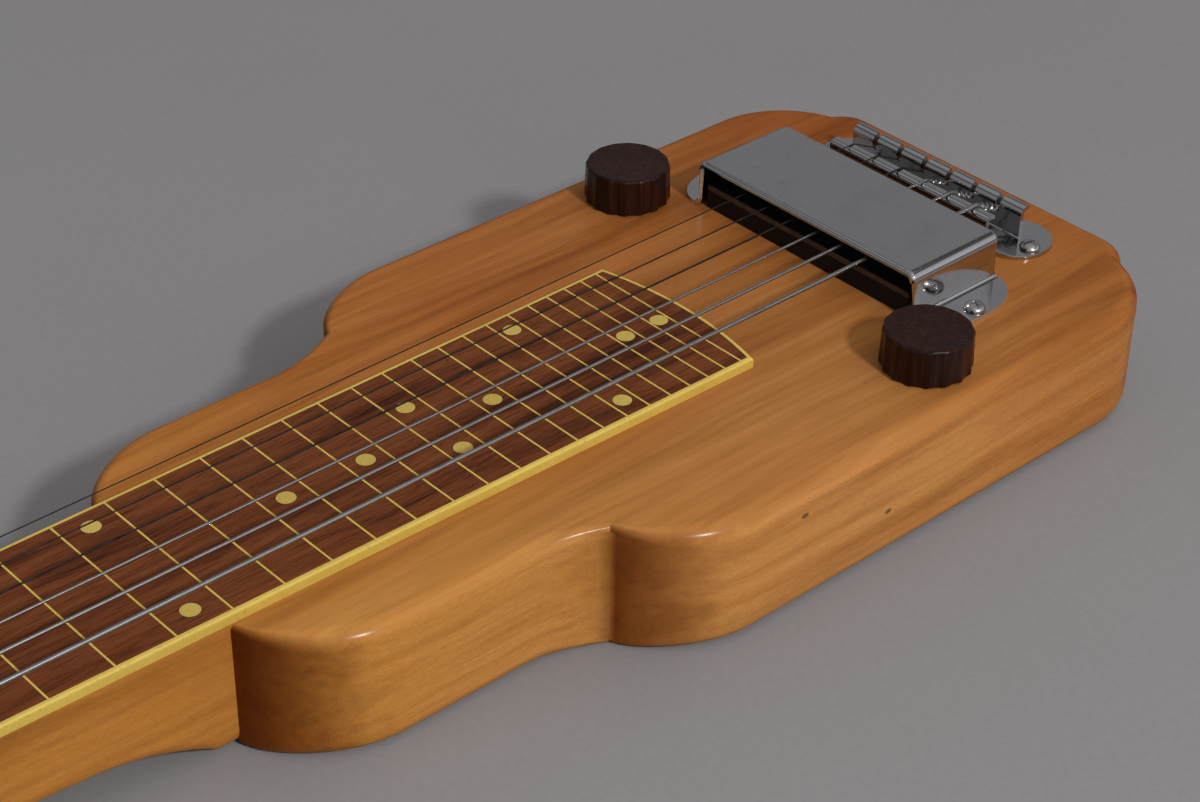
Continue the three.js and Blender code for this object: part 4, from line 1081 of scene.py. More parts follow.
def dot_spots():
    """Places of the position dots, in pairs at some frets."""
    for fret in DOT_FRETS:
        x = (fret_x(fret) + fret_x(fret - 1)) / 2
        share = OUTER_PAIR_SHARE if fret in OUTER_PAIR_FRETS else INNER_PAIR_SHARE
        paired = fret in OUTER_PAIR_FRETS + INNER_PAIR_FRETS
        for y in [share * taper(x), -share * taper(x)] if paired else [0]:
            yield shifted(x, y)


def make_board(wood, plastic, dot_plastic, dirt):
    board = Form(prism(board_outline(0), BODY_TOP, BOARD_TOP))
    make("fingerboard_wood", board, wood, "rosewood", nodes=["fingerboard"])
    make("binding_with_lines", binding_form(), plastic, "celluloid", nodes=["binding_and_fret_lines"])
    dots, seams = Form(), Form()
    foot, top = BOARD_TOP - DOT_DEPTH, BOARD_TOP + INLAY_RISE
    for spot in dot_spots():
        dots.join(turned([(0, foot), (DOT, foot), (DOT, BOARD_TOP), (DOT - DOT_EDGE, top), (0, top)], spot))
        seams.join(rod(DOT_SOCKET, BOARD_TOP - SEAM_DEPTH, BOARD_TOP + SEAM_RISE, spot))
    make("position_dots", dots, dot_plastic, "celluloid")
    make("dot_seams", seams, dirt, "rosewood")


def make_nut(finish):
    half = taper(NUT_X) + BINDING
    front = NUT_X - NUT_GLUE
    outline = [(NUT_BACK, BODY_TOP), (front, BODY_TOP), (front, NUT_TOP - NUT_FRONT_ROUND)]
    outline += arc((front - NUT_FRONT_ROUND, NUT_TOP - NUT_FRONT_ROUND), NUT_FRONT_ROUND, 0, pi / 2, 6)
    outline += arc((NUT_BACK + NUT_BACK_ROUND, NUT_TOP - NUT_BACK_ROUND), NUT_BACK_ROUND, pi / 2, pi, 8)
    nut = bare_object("string_nut", Form(across(outline, -half, half)))
    notches = Form()
    for index, gauge in enumerate(GAUGES):
        y, reach = string_y(NUT_X, index), gauge / 2 + NUT_NOTCH_GAP
        notches.add(*box((NUT_BACK - OVER, NUT_X + OVER), (y - reach, y + reach),
                         (NUT_TOP - NUT_NOTCH, NUT_TOP + OVER)))
    combine(nut, "DIFFERENCE", notches)
    finished(nut, finish, "nickel", nodes=["nut"], soften=0.12)


# Strings

def post_of(index):
    """Side and place of the post that a string winds on."""
    treble = index < len(POST_XS)
    side, order = (1, index) if treble else (-1, len(GAUGES) - 1 - index)
    return side, POST_XS[order], side * POST_ROW


def rounded_path(corners):
    """Path through corner points with each bend eased by a small arc."""
    corners = [Vector(corner) for corner in corners]
    points = [corners[0]]
    for before, here, after in zip(corners, corners[1:], corners[2:]):
        back, on = before - here, after - here
        reach = min(STRING_BEND, back.length / 2.2, on.length / 2.2)
        points += eased(here + back.normalized() * reach, here, here + on.normalized() * reach, 5)
    return points + [corners[-1]]


def string_path(index):
    """Middle line of a string, from its ball over the saddle and the nut to its wraps round the post."""
    gauge = GAUGES[index]
    side, post_x, post_y = post_of(index)
    y = string_y(0, index)
    crest = SADDLE_TOP + gauge / 2 + STRING_SEAT
    nut_y = string_y(NUT_X, index)
    nut_z = NUT_TOP - NUT_NOTCH + gauge / 2 + STRING_SEAT
    corners = [(BALL_X, y, BALL_Z), (LIP_X - SHEET, y, BALL_Z), (SADDLE_LEAN, y, crest),
               (-SADDLE_LEAN, y, crest), (NUT_X, nut_y, nut_z), (NUT_BACK, nut_y, nut_z)]
    wrap = POST_WAIST + RUNNING_GAP + gauge / 2
    reach = hypot(NUT_BACK - post_x, nut_y - post_y)
    first = atan2(nut_y - post_y, NUT_BACK - post_x) - side * acos(wrap / reach)
    start = HEAD_TOP + POST_RISE - POST_CAP - RUNNING_GAP - gauge / 2
    steps = 28
    coil = []
    for k in range(WRAPS * steps + 1):
        turn = first - side * TURN * k / steps
        coil.append(Vector((post_x + wrap * cos(turn), post_y + wrap * sin(turn),
                            start - (gauge + WRAP_GAP) * k / steps)))
    return rounded_path(corners + [coil[0]]) + coil[1:]


def ball_end(y):
    half, inset = BALL_WIDTH / 2, BALL - CHAMFER
    profile = [(BALL_BORE, -half), (inset, -half), (BALL, -half + CHAMFER), (BALL_WAIST, 0),
               (BALL, half - CHAMFER), (inset, half), (BALL_BORE, half), (BALL_BORE, -half)]
    return turned(profile, shifted(BALL_X, y, BALL_Z) @ Matrix.Rotation(pi / 2, 4, "X"), 32)


def twisted_end(index, y):
    """Wire wrapped back round the string between its ball and the saddle. It has a share of the
    string's gauge and a share of the pitch."""
    share, slope = TWIST_OF_WOUND if index >= FIRST_WOUND else TWIST_OF_PLAIN
    low = Vector((LIP_X + TWIST_START, y, BALL_Z))
    high = Vector((SADDLE_LEAN + TWIST_END[0], y, SADDLE_TOP + TWIST_END[1]))
    wire = GAUGES[index] * share
    reach = GAUGES[index] / 2 + wire * TWIST_REACH
    length = (high - low).length
    count = int(length / (TWIST_PITCH * slope) * TWIST_STEPS)
    along = (high - low).normalized()
    side = along.cross(Vector((0, 0, 1))).normalized()
    up = side.cross(along)
    path = []
    for k in range(count + 1):
        turn = TURN * k / TWIST_STEPS
        here = low + along * (length * k / count)
        path.append(here + side * (reach * cos(turn)) + up * (reach * sin(turn)))
    return tube(path, wire, 6)


def make_strings(plain, wound, ball):
    for index, gauge in enumerate(GAUGES):
        y = string_y(0, index)
        form = Form(tube(string_path(index), gauge / 2, 12))
        form.join(ball_end(y), tag=1)
        form.add(*twisted_end(index, y))
        kind, wire = ("wound", wound) if index >= FIRST_WOUND else ("plain", plain)
        make("%s_string_%d" % (kind, index + 1), form, [wire, ball], kind + "_string",
             nodes=["string_%d" % (index + 1)])


# Tailpiece

def tailpiece_profile():
    """Section of the bent sheet: saddle in front, flat floor, rolled lip behind."""
    low, floor = BODY_TOP, BODY_TOP + SHEET + CHANNEL_ROUND
    front = -SADDLE_LEAN - SHEET / 2
    roll = (LIP_X + LIP_ROLL, LIP_TOP - LIP_ROLL)
    path = arc((LIP_X, low + SHEET), SHEET, -pi / 2, 0, 6)
    path += arc(roll, LIP_ROLL - SHEET, pi, pi / 2, 8)
    path += arc((roll[0], LIP_TOP - SHEET / 2), SHEET / 2, -pi / 2, pi / 2, 6)[1:]
    path += arc(roll, LIP_ROLL, pi / 2, pi, 10)[1:]
    path += arc((LIP_X - CHANNEL_ROUND, floor), CHANNEL_ROUND, 0, -pi / 2, 4)
    path += arc((front + SHEET + CHANNEL_ROUND, floor), CHANNEL_ROUND, -pi / 2, -pi, 4)
    path += [(-SHEET / 2, SADDLE_TOP - SHEET), (SADDLE_LEAN, SADDLE_TOP - SHEET)]
    path += arc((SADDLE_LEAN, SADDLE_TOP - SHEET / 2), SHEET / 2, -pi / 2, pi / 2, 8)
    path += arc((SADDLE_LEAN - SHEET, SADDLE_TOP - SHEET * 1.5), SHEET * 1.5, pi / 2, pi, 8)
    path += arc((front + SHEET, low + SHEET), SHEET, pi, 1.5 * pi, 6)
    return path


def slot_tool(y):
    """Cutter for one slot in the lip, round below."""
    half, bottom = SLOT_WIDTH / 2, LIP_TOP - SLOT_DEPTH
    outline = [(half, bottom + half), (half, LIP_TOP + OVER), (-half, LIP_TOP + OVER)]
    outline += arc((0, bottom + half), half, pi, TURN, 8)[:-1]
    ends = (LIP_X - SLOT_START, LIP_X + LIP_ROLL + OVER)
    return skin([[(x, y + a, z) for a, z in outline] for x in ends])


def tab_corner_tool(y):
    """Cutter that rounds the two corners of the rolled lip's rear edge beside one slot."""
    rear, half = LIP_X + LIP_ROLL + SHEET / 2, SLOT_WIDTH / 2
    reach, short = half + TAB_CORNER, TAB_CORNER * 0.3
    side = [(rear - TAB_CORNER, half), (rear - short, reach - TAB_CORNER * 0.7), (rear, reach)]
    side += [(rear + 2, reach)]
    outline = [(x, y - a) for x, a in side] + [(x, y + a) for x, a in reversed(side)]
    return prism(outline, LIP_TOP - SHEET * 2, LIP_TOP + OVER)


def make_tailpiece(finish):
    channel = across(tailpiece_profile(), -TAILPIECE_HALF, TAILPIECE_HALF)
    piece = bare_object("tailpiece_plate", Form(channel))
    top = BODY_TOP + SHEET
    ear = [(0, BODY_TOP), (EAR, BODY_TOP)] + rounded_rim(EAR, top, EAR_EDGE) + [(0, top)]
    for side in SIDES.values():
        combine(piece, "UNION", turned(ear, shifted(EAR_X, side * EAR_Y), 72))
    rows = [string_y(0, index) for index in range(len(GAUGES))]
    combine(piece, "DIFFERENCE", Form(*[tab_corner_tool(y) for y in rows]))
    cuts = Form(*[slot_tool(y) for y in rows])
    for side in SIDES.values():
        ends = sorted([side * SADDLE_HALF, side * (TAILPIECE_HALF + OVER)])
        cuts.add(*box((-2 * OVER, LIP_X - OVER), ends, (top, SADDLE_TOP + OVER)))
    combine(piece, "DIFFERENCE", cuts)
    finished(piece, finish, "chrome", nodes=["tailpiece"], soften=0.3, steps=3)


# Pickup cover and housing

def foot_share(share):
    """Half width of a foot at a share of its length, as a share of the whole half width."""
    return max(1 - share ** FOOT_FULLNESS, 0) ** (1 / FOOT_FULLNESS)


def cover_section():
    """Half of the cover's outer line, with half widths: from its top's middle to the tip of a foot."""
    half_width = (COVER_REAR - COVER_FRONT) / 2
    top, foot = BODY_TOP + COVER_HEIGHT, BODY_TOP + COVER_SHEET
    flat = COVER_HALF - COVER_BEND
    line = [(y, top, half_width) for y in (*COVER_COLUMNS, flat - 2)]
    line += [(y, z, half_width) for y, z in arc((flat, top - COVER_BEND), COVER_BEND, pi / 2, 0, 8)]
    inner = COVER_HALF - COVER_SHEET
    reach = FOOT_REACH + COVER_SHEET
    for y, z in arc((COVER_HALF + FOOT_BEND, foot + FOOT_BEND), FOOT_BEND, pi, 1.5 * pi, 8):
        share = 0.0 if y <= COVER_HALF else (y - inner) / reach
        line.append((y, z, half_width * foot_share(share)))
    start = asin((COVER_HALF + FOOT_BEND - inner) / reach)
    steps = 32
    for k in range(1, steps + 1):
        share = sin(start + (pi / 2 - start) * k / steps)
        line.append((inner + reach * share, foot, max(half_width * foot_share(share), FOOT_TIP)))
    return line


def rolled_rows(line):
    """Rows of points along the cover, whose front and rear edges roll inwards above the feet."""
    middle, half_width = (COVER_FRONT + COVER_REAR) / 2, (COVER_REAR - COVER_FRONT) / 2
    shares = [1 - COVER_ROLL * (1 - sin(turn)) / half_width for turn in quarter(6)]
    shares += [shares[0] * k / 5 for k in range(5)]
    shares = sorted({s * side for s in shares for side in (-1, 1)})
    rows = []
    for k, (y, z, w) in enumerate(line):
        before, after = line[max(k - 1, 0)], line[min(k + 1, len(line) - 1)]
        run = Vector((after[0] - before[0], after[1] - before[1])).normalized()
        rolls = min(max((z - BODY_TOP - COVER_SHEET) / COVER_ROLL_START, 0), 1)
        row = []
        for n, s in enumerate(shares):
            even = 2 * n / (len(shares) - 1) - 1
            s = even + (s - even) * rolls
            left = min(max(COVER_ROLL - w * (1 - abs(s)), 0), COVER_ROLL)
            sink = rolls * (COVER_ROLL - sqrt(COVER_ROLL ** 2 - left ** 2))
            row.append((middle + w * s, y + run.y * sink, z - run.x * sink))
        rows.append(row)
    return rows


def make_cover(finish, rim):
    half = cover_section()
    whole = [(-y, z, w) for y, z, w in reversed(half[1:])] + half
    cover = bare_object("cover_sheet", Form(skin(rolled_rows(whole), False, False)))
    for part in (finish, rim):
        cover.data.materials.append(part)
    top = max(cover.data.polygons, key=lambda face: face.center.z)
    thick = cover.modifiers.new("sheet", "SOLIDIFY")
    thick.thickness = COVER_SHEET * MM
    thick.offset = -1 if top.normal.z > 0 else 1
    thick.use_even_offset = True
    # The sheet's cut edges take the rim finish: worn metal made lighter as a painted highlight
    thick.material_offset_rim = 1
    bake(cover)
    finished(cover, [finish, rim], "chrome", nodes=["pickup_cover"], soften=0.5, steps=3)


def make_housing(shell, strip):
    low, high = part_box("pickup_housing")
    (x0, y0, z0), (x1, y1, z1) = low / MM, high / MM
    x0, x1 = x0 - SADDLE, x1 - SADDLE
    form = Form()
    lip = z1 - HOUSING_STRIP
    layers = ((z0, lip), (lip - HOUSING_LAP, z1 - HOUSING_CAP), (z1 - (HOUSING_CAP + HOUSING_LAP), z1))
    for inset, heights, tag in zip(HOUSING_INSETS, layers, (0, 1, 0)):
        form.add(*box((x0 + inset, x1 - inset), (y0 + inset, y1 - inset), heights), tag)
    make("housing_shell", form, [shell, strip], "bakelite", nodes=["pickup_housing"], soften=0.5)


# Screws

def slotted(name, spot, level, height, radius, turn, form, finish, slot="chrome", nodes=(), up=1):
    """Screw head with its driver slot cut from above, or from below where up is -1."""
    screw = bare_object(name, form.moved(shifted(*spot)))
    ends = sorted([level + up * height / 2, level + up * (height + 2)])
    cut = Form(box((-radius - 1, radius + 1), (-SLOT / 2, SLOT / 2), ends))
    combine(screw, "DIFFERENCE", cut.moved(shifted(*spot) @ Matrix.Rotation(turn, 4, "Z")))
    finished(screw, finish, slot, nodes=nodes, soften=0.06)


def make_dome_screws(finish):
    foot = ((COVER_FRONT + COVER_REAR) / 2, COVER_HALF + FOOT_REACH - FOOT_SCREW_INSET)
    for name, side in SIDES.items():
        for kind, (x, y), sheet, turn in (("tailpiece", EAR_SCREW, SHEET, 0.7),
                                          ("pickup_cover", foot, COVER_SHEET, 2.1)):
            level = BODY_TOP + sheet
            start = level + DOME_RIM
            inset, rise = DOME - CHAMFER, DOME_HEIGHT - DOME_RIM
            profile = [(0, level - 1), (inset, level - 1), (inset, level), (DOME, start)]
            profile += [(DOME * cos(t), start + rise * sin(t)) for t in quarter(10)[1:]]
            slotted("%s_screw_%s_head" % (kind, name), (x, side * y), level, DOME_HEIGHT, DOME,
                    turn + side, turned(profile), finish, nodes=["%s_screw_%s" % (kind, name)])


# Controls

def knob_radius(angle, share):
    """Radius of the knob's side at an angle, its share of the height counted from the foot."""
    across = (angle * KNOB_FLUTES / TURN) % 1
    u = min(max((across - FLUTE_LAND / 2) / (1 - FLUTE_LAND), 0), 1)
    dip = 1 - (2 * u - 1) ** 2
    depth = FLUTE_DEPTH * (1 - FLUTE_FADE * share)
    return KNOB - KNOB_FLARE * share - depth * dip


def make_knob(name, side, finish):
    low, count = BODY_TOP + KNOB_LIFT, KNOB_FLUTES * FLUTE_STEPS
    wall = KNOB_HEIGHT - KNOB_SHOULDER
    plain = KNOB - KNOB_FLARE - KNOB_SHOULDER
    inset, rise = KNOB_FOOT
    rows = [ring(KNOB_RECESS, low, count), ring(lambda a: knob_radius(a, 0) - inset, low, count)]
    steps = 8
    for k in range(steps + 1):
        share = k / steps
        rows.append(ring(lambda a: knob_radius(a, share), low + rise + (wall - rise) * share, count))
    for turn in quarter(steps)[1:]:
        fade = cos(turn)
        rows.append(ring(lambda a: plain + (knob_radius(a, 1) - plain) * fade,
                         low + wall + KNOB_SHOULDER * sin(turn), count))
    for reach, drop in KNOB_DISH:
        rows.append(ring(KNOB * reach, low + KNOB_HEIGHT - drop, count))
    form = Form(skin(rows, ends=False))
    roof = low + KNOB_RECESS_DEPTH
    recess = [(KNOB_RECESS, low), (KNOB_RECESS, roof), (0.01, roof)]
    form.add(*skin([ring(radius, level, count) for radius, level in recess], ends=False))
    form.moved(shifted(KNOB_X, side * KNOB_Y))
    make("%s_knob_fluted" % name, form, finish, "tortoise", body="%s_control" % name,
         nodes=["%s_knob" % name])


def make_jack(steel, chrome):
    web = BOUT_HALF - JACK_RECESS_DEPTH
    end, shoulder = web + JACK_BUSH_RISE, CAVITY_HALF - JACK_GAP
    back = shoulder - JACK_BODY_LENGTH
    floor = back + JACK_BACK_WALL
    profile = [(0, back), (JACK_BODY - JACK_CHAMFER, back), (JACK_BODY, back + JACK_CHAMFER),
               (JACK_BODY, shoulder), (JACK_BUSH, shoulder)]
    first, last = JACK_THREAD_ENDS
    ridge = shoulder + first
    while ridge < end - last:
        profile += [(JACK_BUSH, ridge), (JACK_BUSH - JACK_THREAD / 2, ridge + JACK_THREAD / 2)]
        ridge += JACK_THREAD
    profile += rounded_rim(JACK_BUSH, end, JACK_BUSH_EDGE)
    profile += [(JACK_BORE + CHAMFER, end), (JACK_BORE, end - CHAMFER), (JACK_BORE, floor), (0, floor)]
    make("jack_barrel", turned(profile, toward_side(0)), steel, "steel", nodes=["output_jack"])
    nut = hex_nut(JACK_NUT, JACK_BUSH + JACK_NUT_GAP, web, JACK_NUT_HEIGHT).moved(toward_side(0))
    make("jack_hex_nut", nut, chrome, "chrome", nodes=["output_jack_nut"], soften=0.15)


def hex_nut(outer, bore, low, height):
    """Hexagonal nut whose corners are turned off to a cone at the outer face."""
    flat = outer * cos(pi / 6)
    section = [(bore, 0), (outer, 0), (outer, height - JACK_NUT_CONE), (flat * JACK_NUT_FACE, height),
               (bore, height), (bore, 0)]
    rows = []
    for reach, level in section:
        rows.append(ring(lambda a: min(reach, flat / cos((a % (pi / 3)) - pi / 6)), low + level))
    return Form(skin(rows, ends=False))


def make_cavity_cover(finish, screw_finish):
    outline = cavity_outline(PLATE_MARGIN_X, PLATE_MARGIN_Y)
    plate = bare_object("cavity_plate", Form(prism(outline, PLATE_GAP, PLATE_GAP + PLATE_THICKNESS)))
    spread, margin = PLATE_SCREW_SPREAD, PLATE_MARGIN_X / 2
    spots = [(CAVITY_FRONT - margin, y) for y in (-spread, 0, spread)]
    spots += [(CAVITY_REAR + margin, -spread), (CAVITY_REAR + margin, 0), (BAY_REAR + margin, spread)]
    low, wide = PLATE_GAP, SMALL_HEAD + SINK_GAP
    floor, foot, top = low + SINK, low + SMALL_HEAD_FOOT, low + SMALL_HEAD_TOP
    sink = [(0, low - 2), (wide, low - 2), (wide, low), (SINK, floor), (0, floor)]
    sinks = Form()
    for x, y in spots:
        sinks.join(turned(sink, shifted(x, y), 24))
    combine(plate, "DIFFERENCE", sinks)
    finished(plate, finish, "bakelite", nodes=["cavity_cover"], soften=0.2)
    head = [(0, foot), (SMALL_HEAD - SINK_GAP, foot), (SMALL_HEAD, low + SMALL_HEAD_RIM), (1, top), (0, top)]
    for number, spot in enumerate(spots):
        slotted("cavity_screw_%d" % (number + 1), spot, top, 1, SMALL_HEAD, 0.6 + number,
                turned(head, sides=32), screw_finish, slot="steel", up=-1)


# Tuners

def gear_row(z, clear=0.0):
    """Outline of the worm wheel at a level, its teeth slanted to the worm's lead."""
    lead = WORM_PITCH / (TURN * WORM_PITCH_RADIUS)
    twist = (z - WORM_Z) * lead / GEAR_PITCH_RADIUS
    pitch_arc = TURN / GEAR_TEETH
    root, tip = GEAR_PITCH_RADIUS - DEDENDUM, GEAR_PITCH_RADIUS + ADDENDUM - clear
    root_half, tip_half = TOOTH_SHARES["root"] * pitch_arc / 2, TOOTH_SHARES["tip"] * pitch_arc / 2
    flanks = ((root, -root_half), (tip, -tip_half), (tip, tip_half), (root, root_half))
    row = []
    for tooth in range(GEAR_TEETH):
        middle = tooth * pitch_arc + twist
        row += [(radius * cos(middle + off), radius * sin(middle + off), z) for radius, off in flanks]
    return row


def post_form():
    """String post with its worm wheel and the screw that holds the wheel."""
    low, high = WORM_Z - GEAR_THICKNESS / 2, WORM_Z + GEAR_THICKNESS / 2
    top = HEAD_TOP + POST_RISE
    cap = top - POST_CAP
    waist = cap - POST_WAIST_HEIGHT - CHAMFER
    seat = TUNER_PLATE_LOW - RUNNING_GAP
    levels = [low + (high - low) * k / 4 for k in range(5)]
    form = Form(skin([gear_row(z, GEAR_CHAMFER if k in (0, 4) else 0) for k, z in enumerate(levels)]))
    end = low - RETAINER_HEIGHT
    profile = [
        (0, end), (RETAINER - CHAMFER, end), (RETAINER, end + CHAMFER), (RETAINER, low - CHAMFER),
        (POST, low), (POST, high), (GEAR_COLLAR, high), (GEAR_COLLAR, seat), (POST, seat), (POST, waist),
    ]
    for t in (0.2, 0.5, 1):
        profile.append((POST_WAIST + POST_FILLET * (1 - sin(t * pi / 2)), waist + POST_FILLET * t))
    profile += [(POST_WAIST, cap - CHAMFER), (POST, cap)] + rounded_rim(POST, top, POST_EDGE) + [(0, top)]
    form.add(*lathe(profile))
    return form


def worm_form(side):
    """Worm with a right-handed thread round Y, on its shaft."""
    half = WORM_LENGTH / 2
    inner = -half - 2 * RUNNING_GAP - LUG
    reach = HEAD_HALF - POST_ROW + BUTTON_GAP + BUTTON_GRIP
    root, tip = WORM_PITCH_RADIUS - DEDENDUM, WORM_PITCH_RADIUS + ADDENDUM
    head_r, head_l = WORM_HEAD
    profile = [(0, inner - head_l), (head_r - CHAMFER, inner - head_l), (head_r, inner - head_l + CHAMFER),
               (head_r, inner), (WORM_SHAFT, inner), (WORM_SHAFT, -half), (root, -half), (root, half),
               (WORM_SHAFT, half), (WORM_SHAFT, reach), (0, reach)]
    form = turned(profile, Matrix.Rotation(-side * pi / 2, 4, "X"), 32)
    root_half, tip_half = TOOTH_SHARES["root"] * WORM_PITCH / 2, TOOTH_SHARES["tip"] * WORM_PITCH / 2
    hidden = root - RUNNING_GAP
    wide = root_half + (root_half - tip_half) * RUNNING_GAP / (ADDENDUM + DEDENDUM)
    section = ((hidden, -wide), (tip, -tip_half), (tip, tip_half), (hidden, wide))
    steps = 24
    turns = (WORM_LENGTH - 2 * wide) / WORM_PITCH
    count = 2 * int(turns * 8 / 2) * (steps // 8)
    start = -count * WORM_PITCH / (2 * steps)
    rows = []
    for k in range(count + 1):
        y = start + k * WORM_PITCH / steps
        turn = (y - WORM_PITCH / 2) / WORM_PITCH * TURN - pi / 2
        rows.append([(r * sin(turn), y + along, r * cos(turn)) for r, along in section])
    form.add(*skin(rows))
    return form


def button_form(side):
    """Oval button, thickest in the middle."""
    middle = HEAD_HALF - POST_ROW + BUTTON_GAP + BUTTON_LENGTH / 2
    rows = []
    for level, share in BUTTON_LAYERS + [(-level, share) for level, share in reversed(BUTTON_LAYERS)]:
        inset = (1 - share) * BUTTON_ROUND
        rows.append([((BUTTON_HALF - inset) * x, middle + (BUTTON_LENGTH / 2 - inset) * y, z)
                     for x, y, z in ring(1, BUTTON_THICKNESS / 2 * level)])
    return Form(skin(rows)).moved(Matrix.Rotation(0 if side > 0 else pi, 4, "Z"))


def ferrule_form():
    bore, top = POST + RUNNING_GAP, HEAD_TOP + FERRULE_HEIGHT
    foot, edge = (bore, HEAD_TOP), rounded_rim(FERRULE, top, FERRULE_EDGE)
    return turned([foot, (FERRULE, HEAD_TOP)] + edge + [(bore, top), foot])


def make_tuners(steel, chrome, ivory):
    for name, side in SIDES.items():
        make_tuner_plate(name, side, steel)
    for index in range(len(GAUGES)):
        side, x, y = post_of(index)
        spot, axle, number = shifted(x, y), shifted(x + WORM_OFFSET, y, WORM_Z), "_%d" % (index + 1)
        post, key = "tuner_post" + number, "tuner_key" + number
        for name, form, finish, slot, body, node in (
            ("geared_post", post_form().moved(spot), steel, "steel", post, "string_post"),
            ("ferrule", ferrule_form().moved(spot), chrome, "chrome", "base", "post_ferrule"),
            ("worm", worm_form(side).moved(axle), steel, "steel", key, "tuner_worm"),
            ("button", button_form(side).moved(axle), ivory, "ivory_plastic", key, "tuner_button"),
        ):
            make(name + number, form, finish, slot, body=body, nodes=[node + number])


def lug_outline():
    """Section of a lug that hangs from the tuner plate and holds the worm's shaft."""
    side = [(LUG_HALF + out, TUNER_PLATE_LOW + rise) for out, rise in LUG_FILLET]
    tongue = arc((0, WORM_Z), LUG_HALF, pi, TURN, 16)
    return [(-x, z) for x, z in reversed(side)] + tongue + side


def make_tuner_plate(name, side, finish):
    y, low = side * POST_ROW, TUNER_PLATE_LOW
    start, end = POST_XS[0] + PLATE_FRONT, POST_XS[-1] - PLATE_REAR
    left, right = end + PLATE_CORNER, start - PLATE_CORNER
    near, far = y - PLATE_HALF + PLATE_CORNER, y + PLATE_HALF - PLATE_CORNER
    outline = []
    for turn, corner in enumerate(((right, far), (left, far), (left, near), (right, near))):
        outline += arc(corner, PLATE_CORNER, turn * pi / 2, (turn + 1) * pi / 2, 6)
    plate = bare_object("tuner_strip_%s" % name, Form(prism(outline, low, HEAD_BOTTOM)))
    cuts, lugs, bores = Form(), Form(), Form()
    for x in POST_XS:
        cuts.join(rod(POST + RUNNING_GAP, low - OVER, HEAD_BOTTOM + OVER, shifted(x, y)))
        centre = x + WORM_OFFSET
        lug = [(centre + a, z) for a, z in lug_outline()]
        for way in (1, -1):
            face = y + way * (WORM_LENGTH / 2 + RUNNING_GAP)
            lugs.add(*across(lug, face, face + way * LUG))
        axle = shifted(centre, y, WORM_Z) @ Matrix.Rotation(-pi / 2, 4, "X")
        bores.join(rod(WORM_SHAFT + RUNNING_GAP, -LUG_DRILL, LUG_DRILL, axle, 32))
    combine(plate, "DIFFERENCE", cuts)
    combine(plate, "UNION", lugs)
    combine(plate, "DIFFERENCE", bores)
    finished(plate, finish, "steel", nodes=["tuner_plate_%s" % name], soften=0.12)
    spots = [start - PLATE_SCREW_INSET] + [x + POST_SPACING / 2 for x in POST_XS[1:]]
    shank, sunk = STRIP_SHANK
    head = [(0, low + sunk), (shank, low + sunk), (shank, low), (SMALL_HEAD, low)]
    head += [(SMALL_HEAD * cos(t), low - STRIP_HEAD_RIM - STRIP_HEAD_DOME * sin(t)) for t in quarter(6)]
    for number, x in enumerate(spots + [end + PLATE_SCREW_INSET]):
        slotted("strip_screw_%s_%d" % (name, number + 1), (x, y), low, 1, SMALL_HEAD, 0.4 + 1.3 * number,
                turned(head, sides=32), finish, slot="steel", up=-1)


def dress_nodes(finishes):
    """Better materials for the CAD nodes whose shape is right as it is."""
    for node, finish in finishes.items():
        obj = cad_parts[node]
        obj.data.materials.clear()
        obj.data.materials.append(finish)


def make_floor(finish):
    low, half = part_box("body")[0].z, FLOOR_HALF
    corners = ((-half, -half), (half, -half), (half, half), (-half, half))
    mesh = bpy.data.meshes.new("floor")
    mesh.from_pydata([(x, y, low) for x, y in corners], [], [(0, 1, 2, 3)])
    floor = bpy.data.objects.new("floor", mesh)
    bpy.context.collection.objects.link(floor)
    mesh.materials.append(finish)


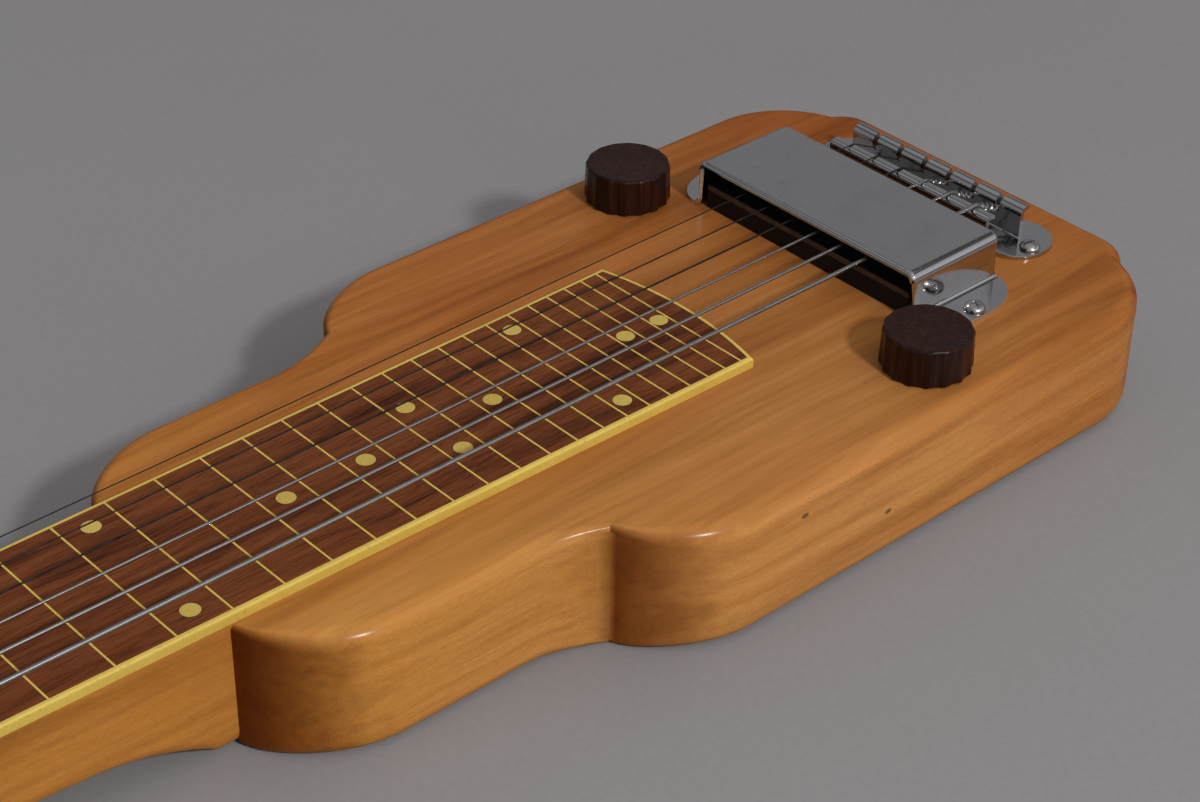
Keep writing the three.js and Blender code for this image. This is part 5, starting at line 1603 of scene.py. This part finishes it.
def main():
    make_camera()
    make_world()
    for name, facts in LAMPS.items():
        make_lamp(name, *facts)
    chrome = metal("chrome_plate", (0.525, 0.53, 0.535), (0.32, 0.31, 0.3), 0.06, 0.14, 0.45)
    bright = metal("chrome_screws", (0.5, 0.49, 0.47), (0.3, 0.28, 0.25), 0.16, 0.28, 0.3)
    nickel = metal("worn_nickel", (0.62, 0.6, 0.55), (0.36, 0.33, 0.28), 0.18, 0.32, 0.5)
    steel = metal("plain_steel", (0.5, 0.5, 0.49), (0.26, 0.25, 0.23), 0.24, 0.4, 0.5, (500, 60, 500))
    # Worn metal of the cover's cut edges, lighter than the plate as a painted highlight
    edge_wear_and_highlight = metal("edge_wear_and_highlight", (0.72, 0.71, 0.69), (0.45, 0.43, 0.4), 0.42, 0.5, 0.3)
    ball = metal("ball_end", (0.3, 0.28, 0.25), (0.15, 0.14, 0.12), 0.3, 0.4, 0.3)
    ivory = moulded("ivory_button", (0.68, 0.58, 0.36), (0.5, 0.38, 0.19), 0.25, (60, 60, 60), 0.4)
    tortoise = moulded("tortoise", (0.0135, 0.0046, 0.0033), (0.038, 0.0116, 0.0060), 0.24, (620, 620, 30),
                       0.07, 0.12)
    black = moulded("black_bakelite", (0.007, 0.0065, 0.007), (0.013, 0.011, 0.010), 0.34, (40, 40, 40),
                    0.02, 0.12)
    fibre = moulded("brown_fibre", (0.085, 0.05, 0.029), (0.045, 0.026, 0.015), 0.6, (40, 300, 300), 0, 0.2)
    paper = moulded("waxed_paper", (0.3, 0.18, 0.08), (0.2, 0.11, 0.05), 0.45, (80, 80, 80))
    dirt = moulded("glue_line", (0.02, 0.009, 0.005), (0.05, 0.02, 0.01), 0.6, (300, 300, 300))
    cream = celluloid("aged_binding", (0.66, 0.475, 0.100), (0.55, 0.365, 0.064))
    dot_cream = celluloid("aged_dots", (0.58, 0.415, 0.095), (0.49, 0.325, 0.055))
    plain = string_wire("plain_wire", (0.05, 0.045, 0.04), (0.025, 0.022, 0.02), 0.6)
    wound = string_wire("wound_wire", (0.42, 0.41, 0.405), (0.26, 0.25, 0.245), 0.26, winding=0.3)
    make_body(maple())
    make_board(rosewood(), cream, dot_cream, dirt)
    make_nut(nickel)
    make_strings(plain, wound, ball)
    make_tailpiece(chrome)
    make_cover(chrome, edge_wear_and_highlight)
    make_housing(black, fibre)
    make_dome_screws(bright)
    make_knob("volume", -1, tortoise)
    make_knob("tone", 1, tortoise)
    make_jack(steel, bright)
    make_cavity_cover(black, steel)
    make_tuners(steel, bright, ivory)
    dress_nodes({
        "pickup_coil": coil_wire(), "pickup_magnet_and_poles": steel, "tone_capacitor": paper,
        "volume_shaft": steel, "tone_shaft": steel, "volume_pot": steel, "tone_pot": steel,
        "volume_pot_nut": nickel, "tone_pot_nut": nickel,
    })
    make_floor(floor_paper())
    bpy.context.scene.view_settings.view_transform = "Standard"


main()
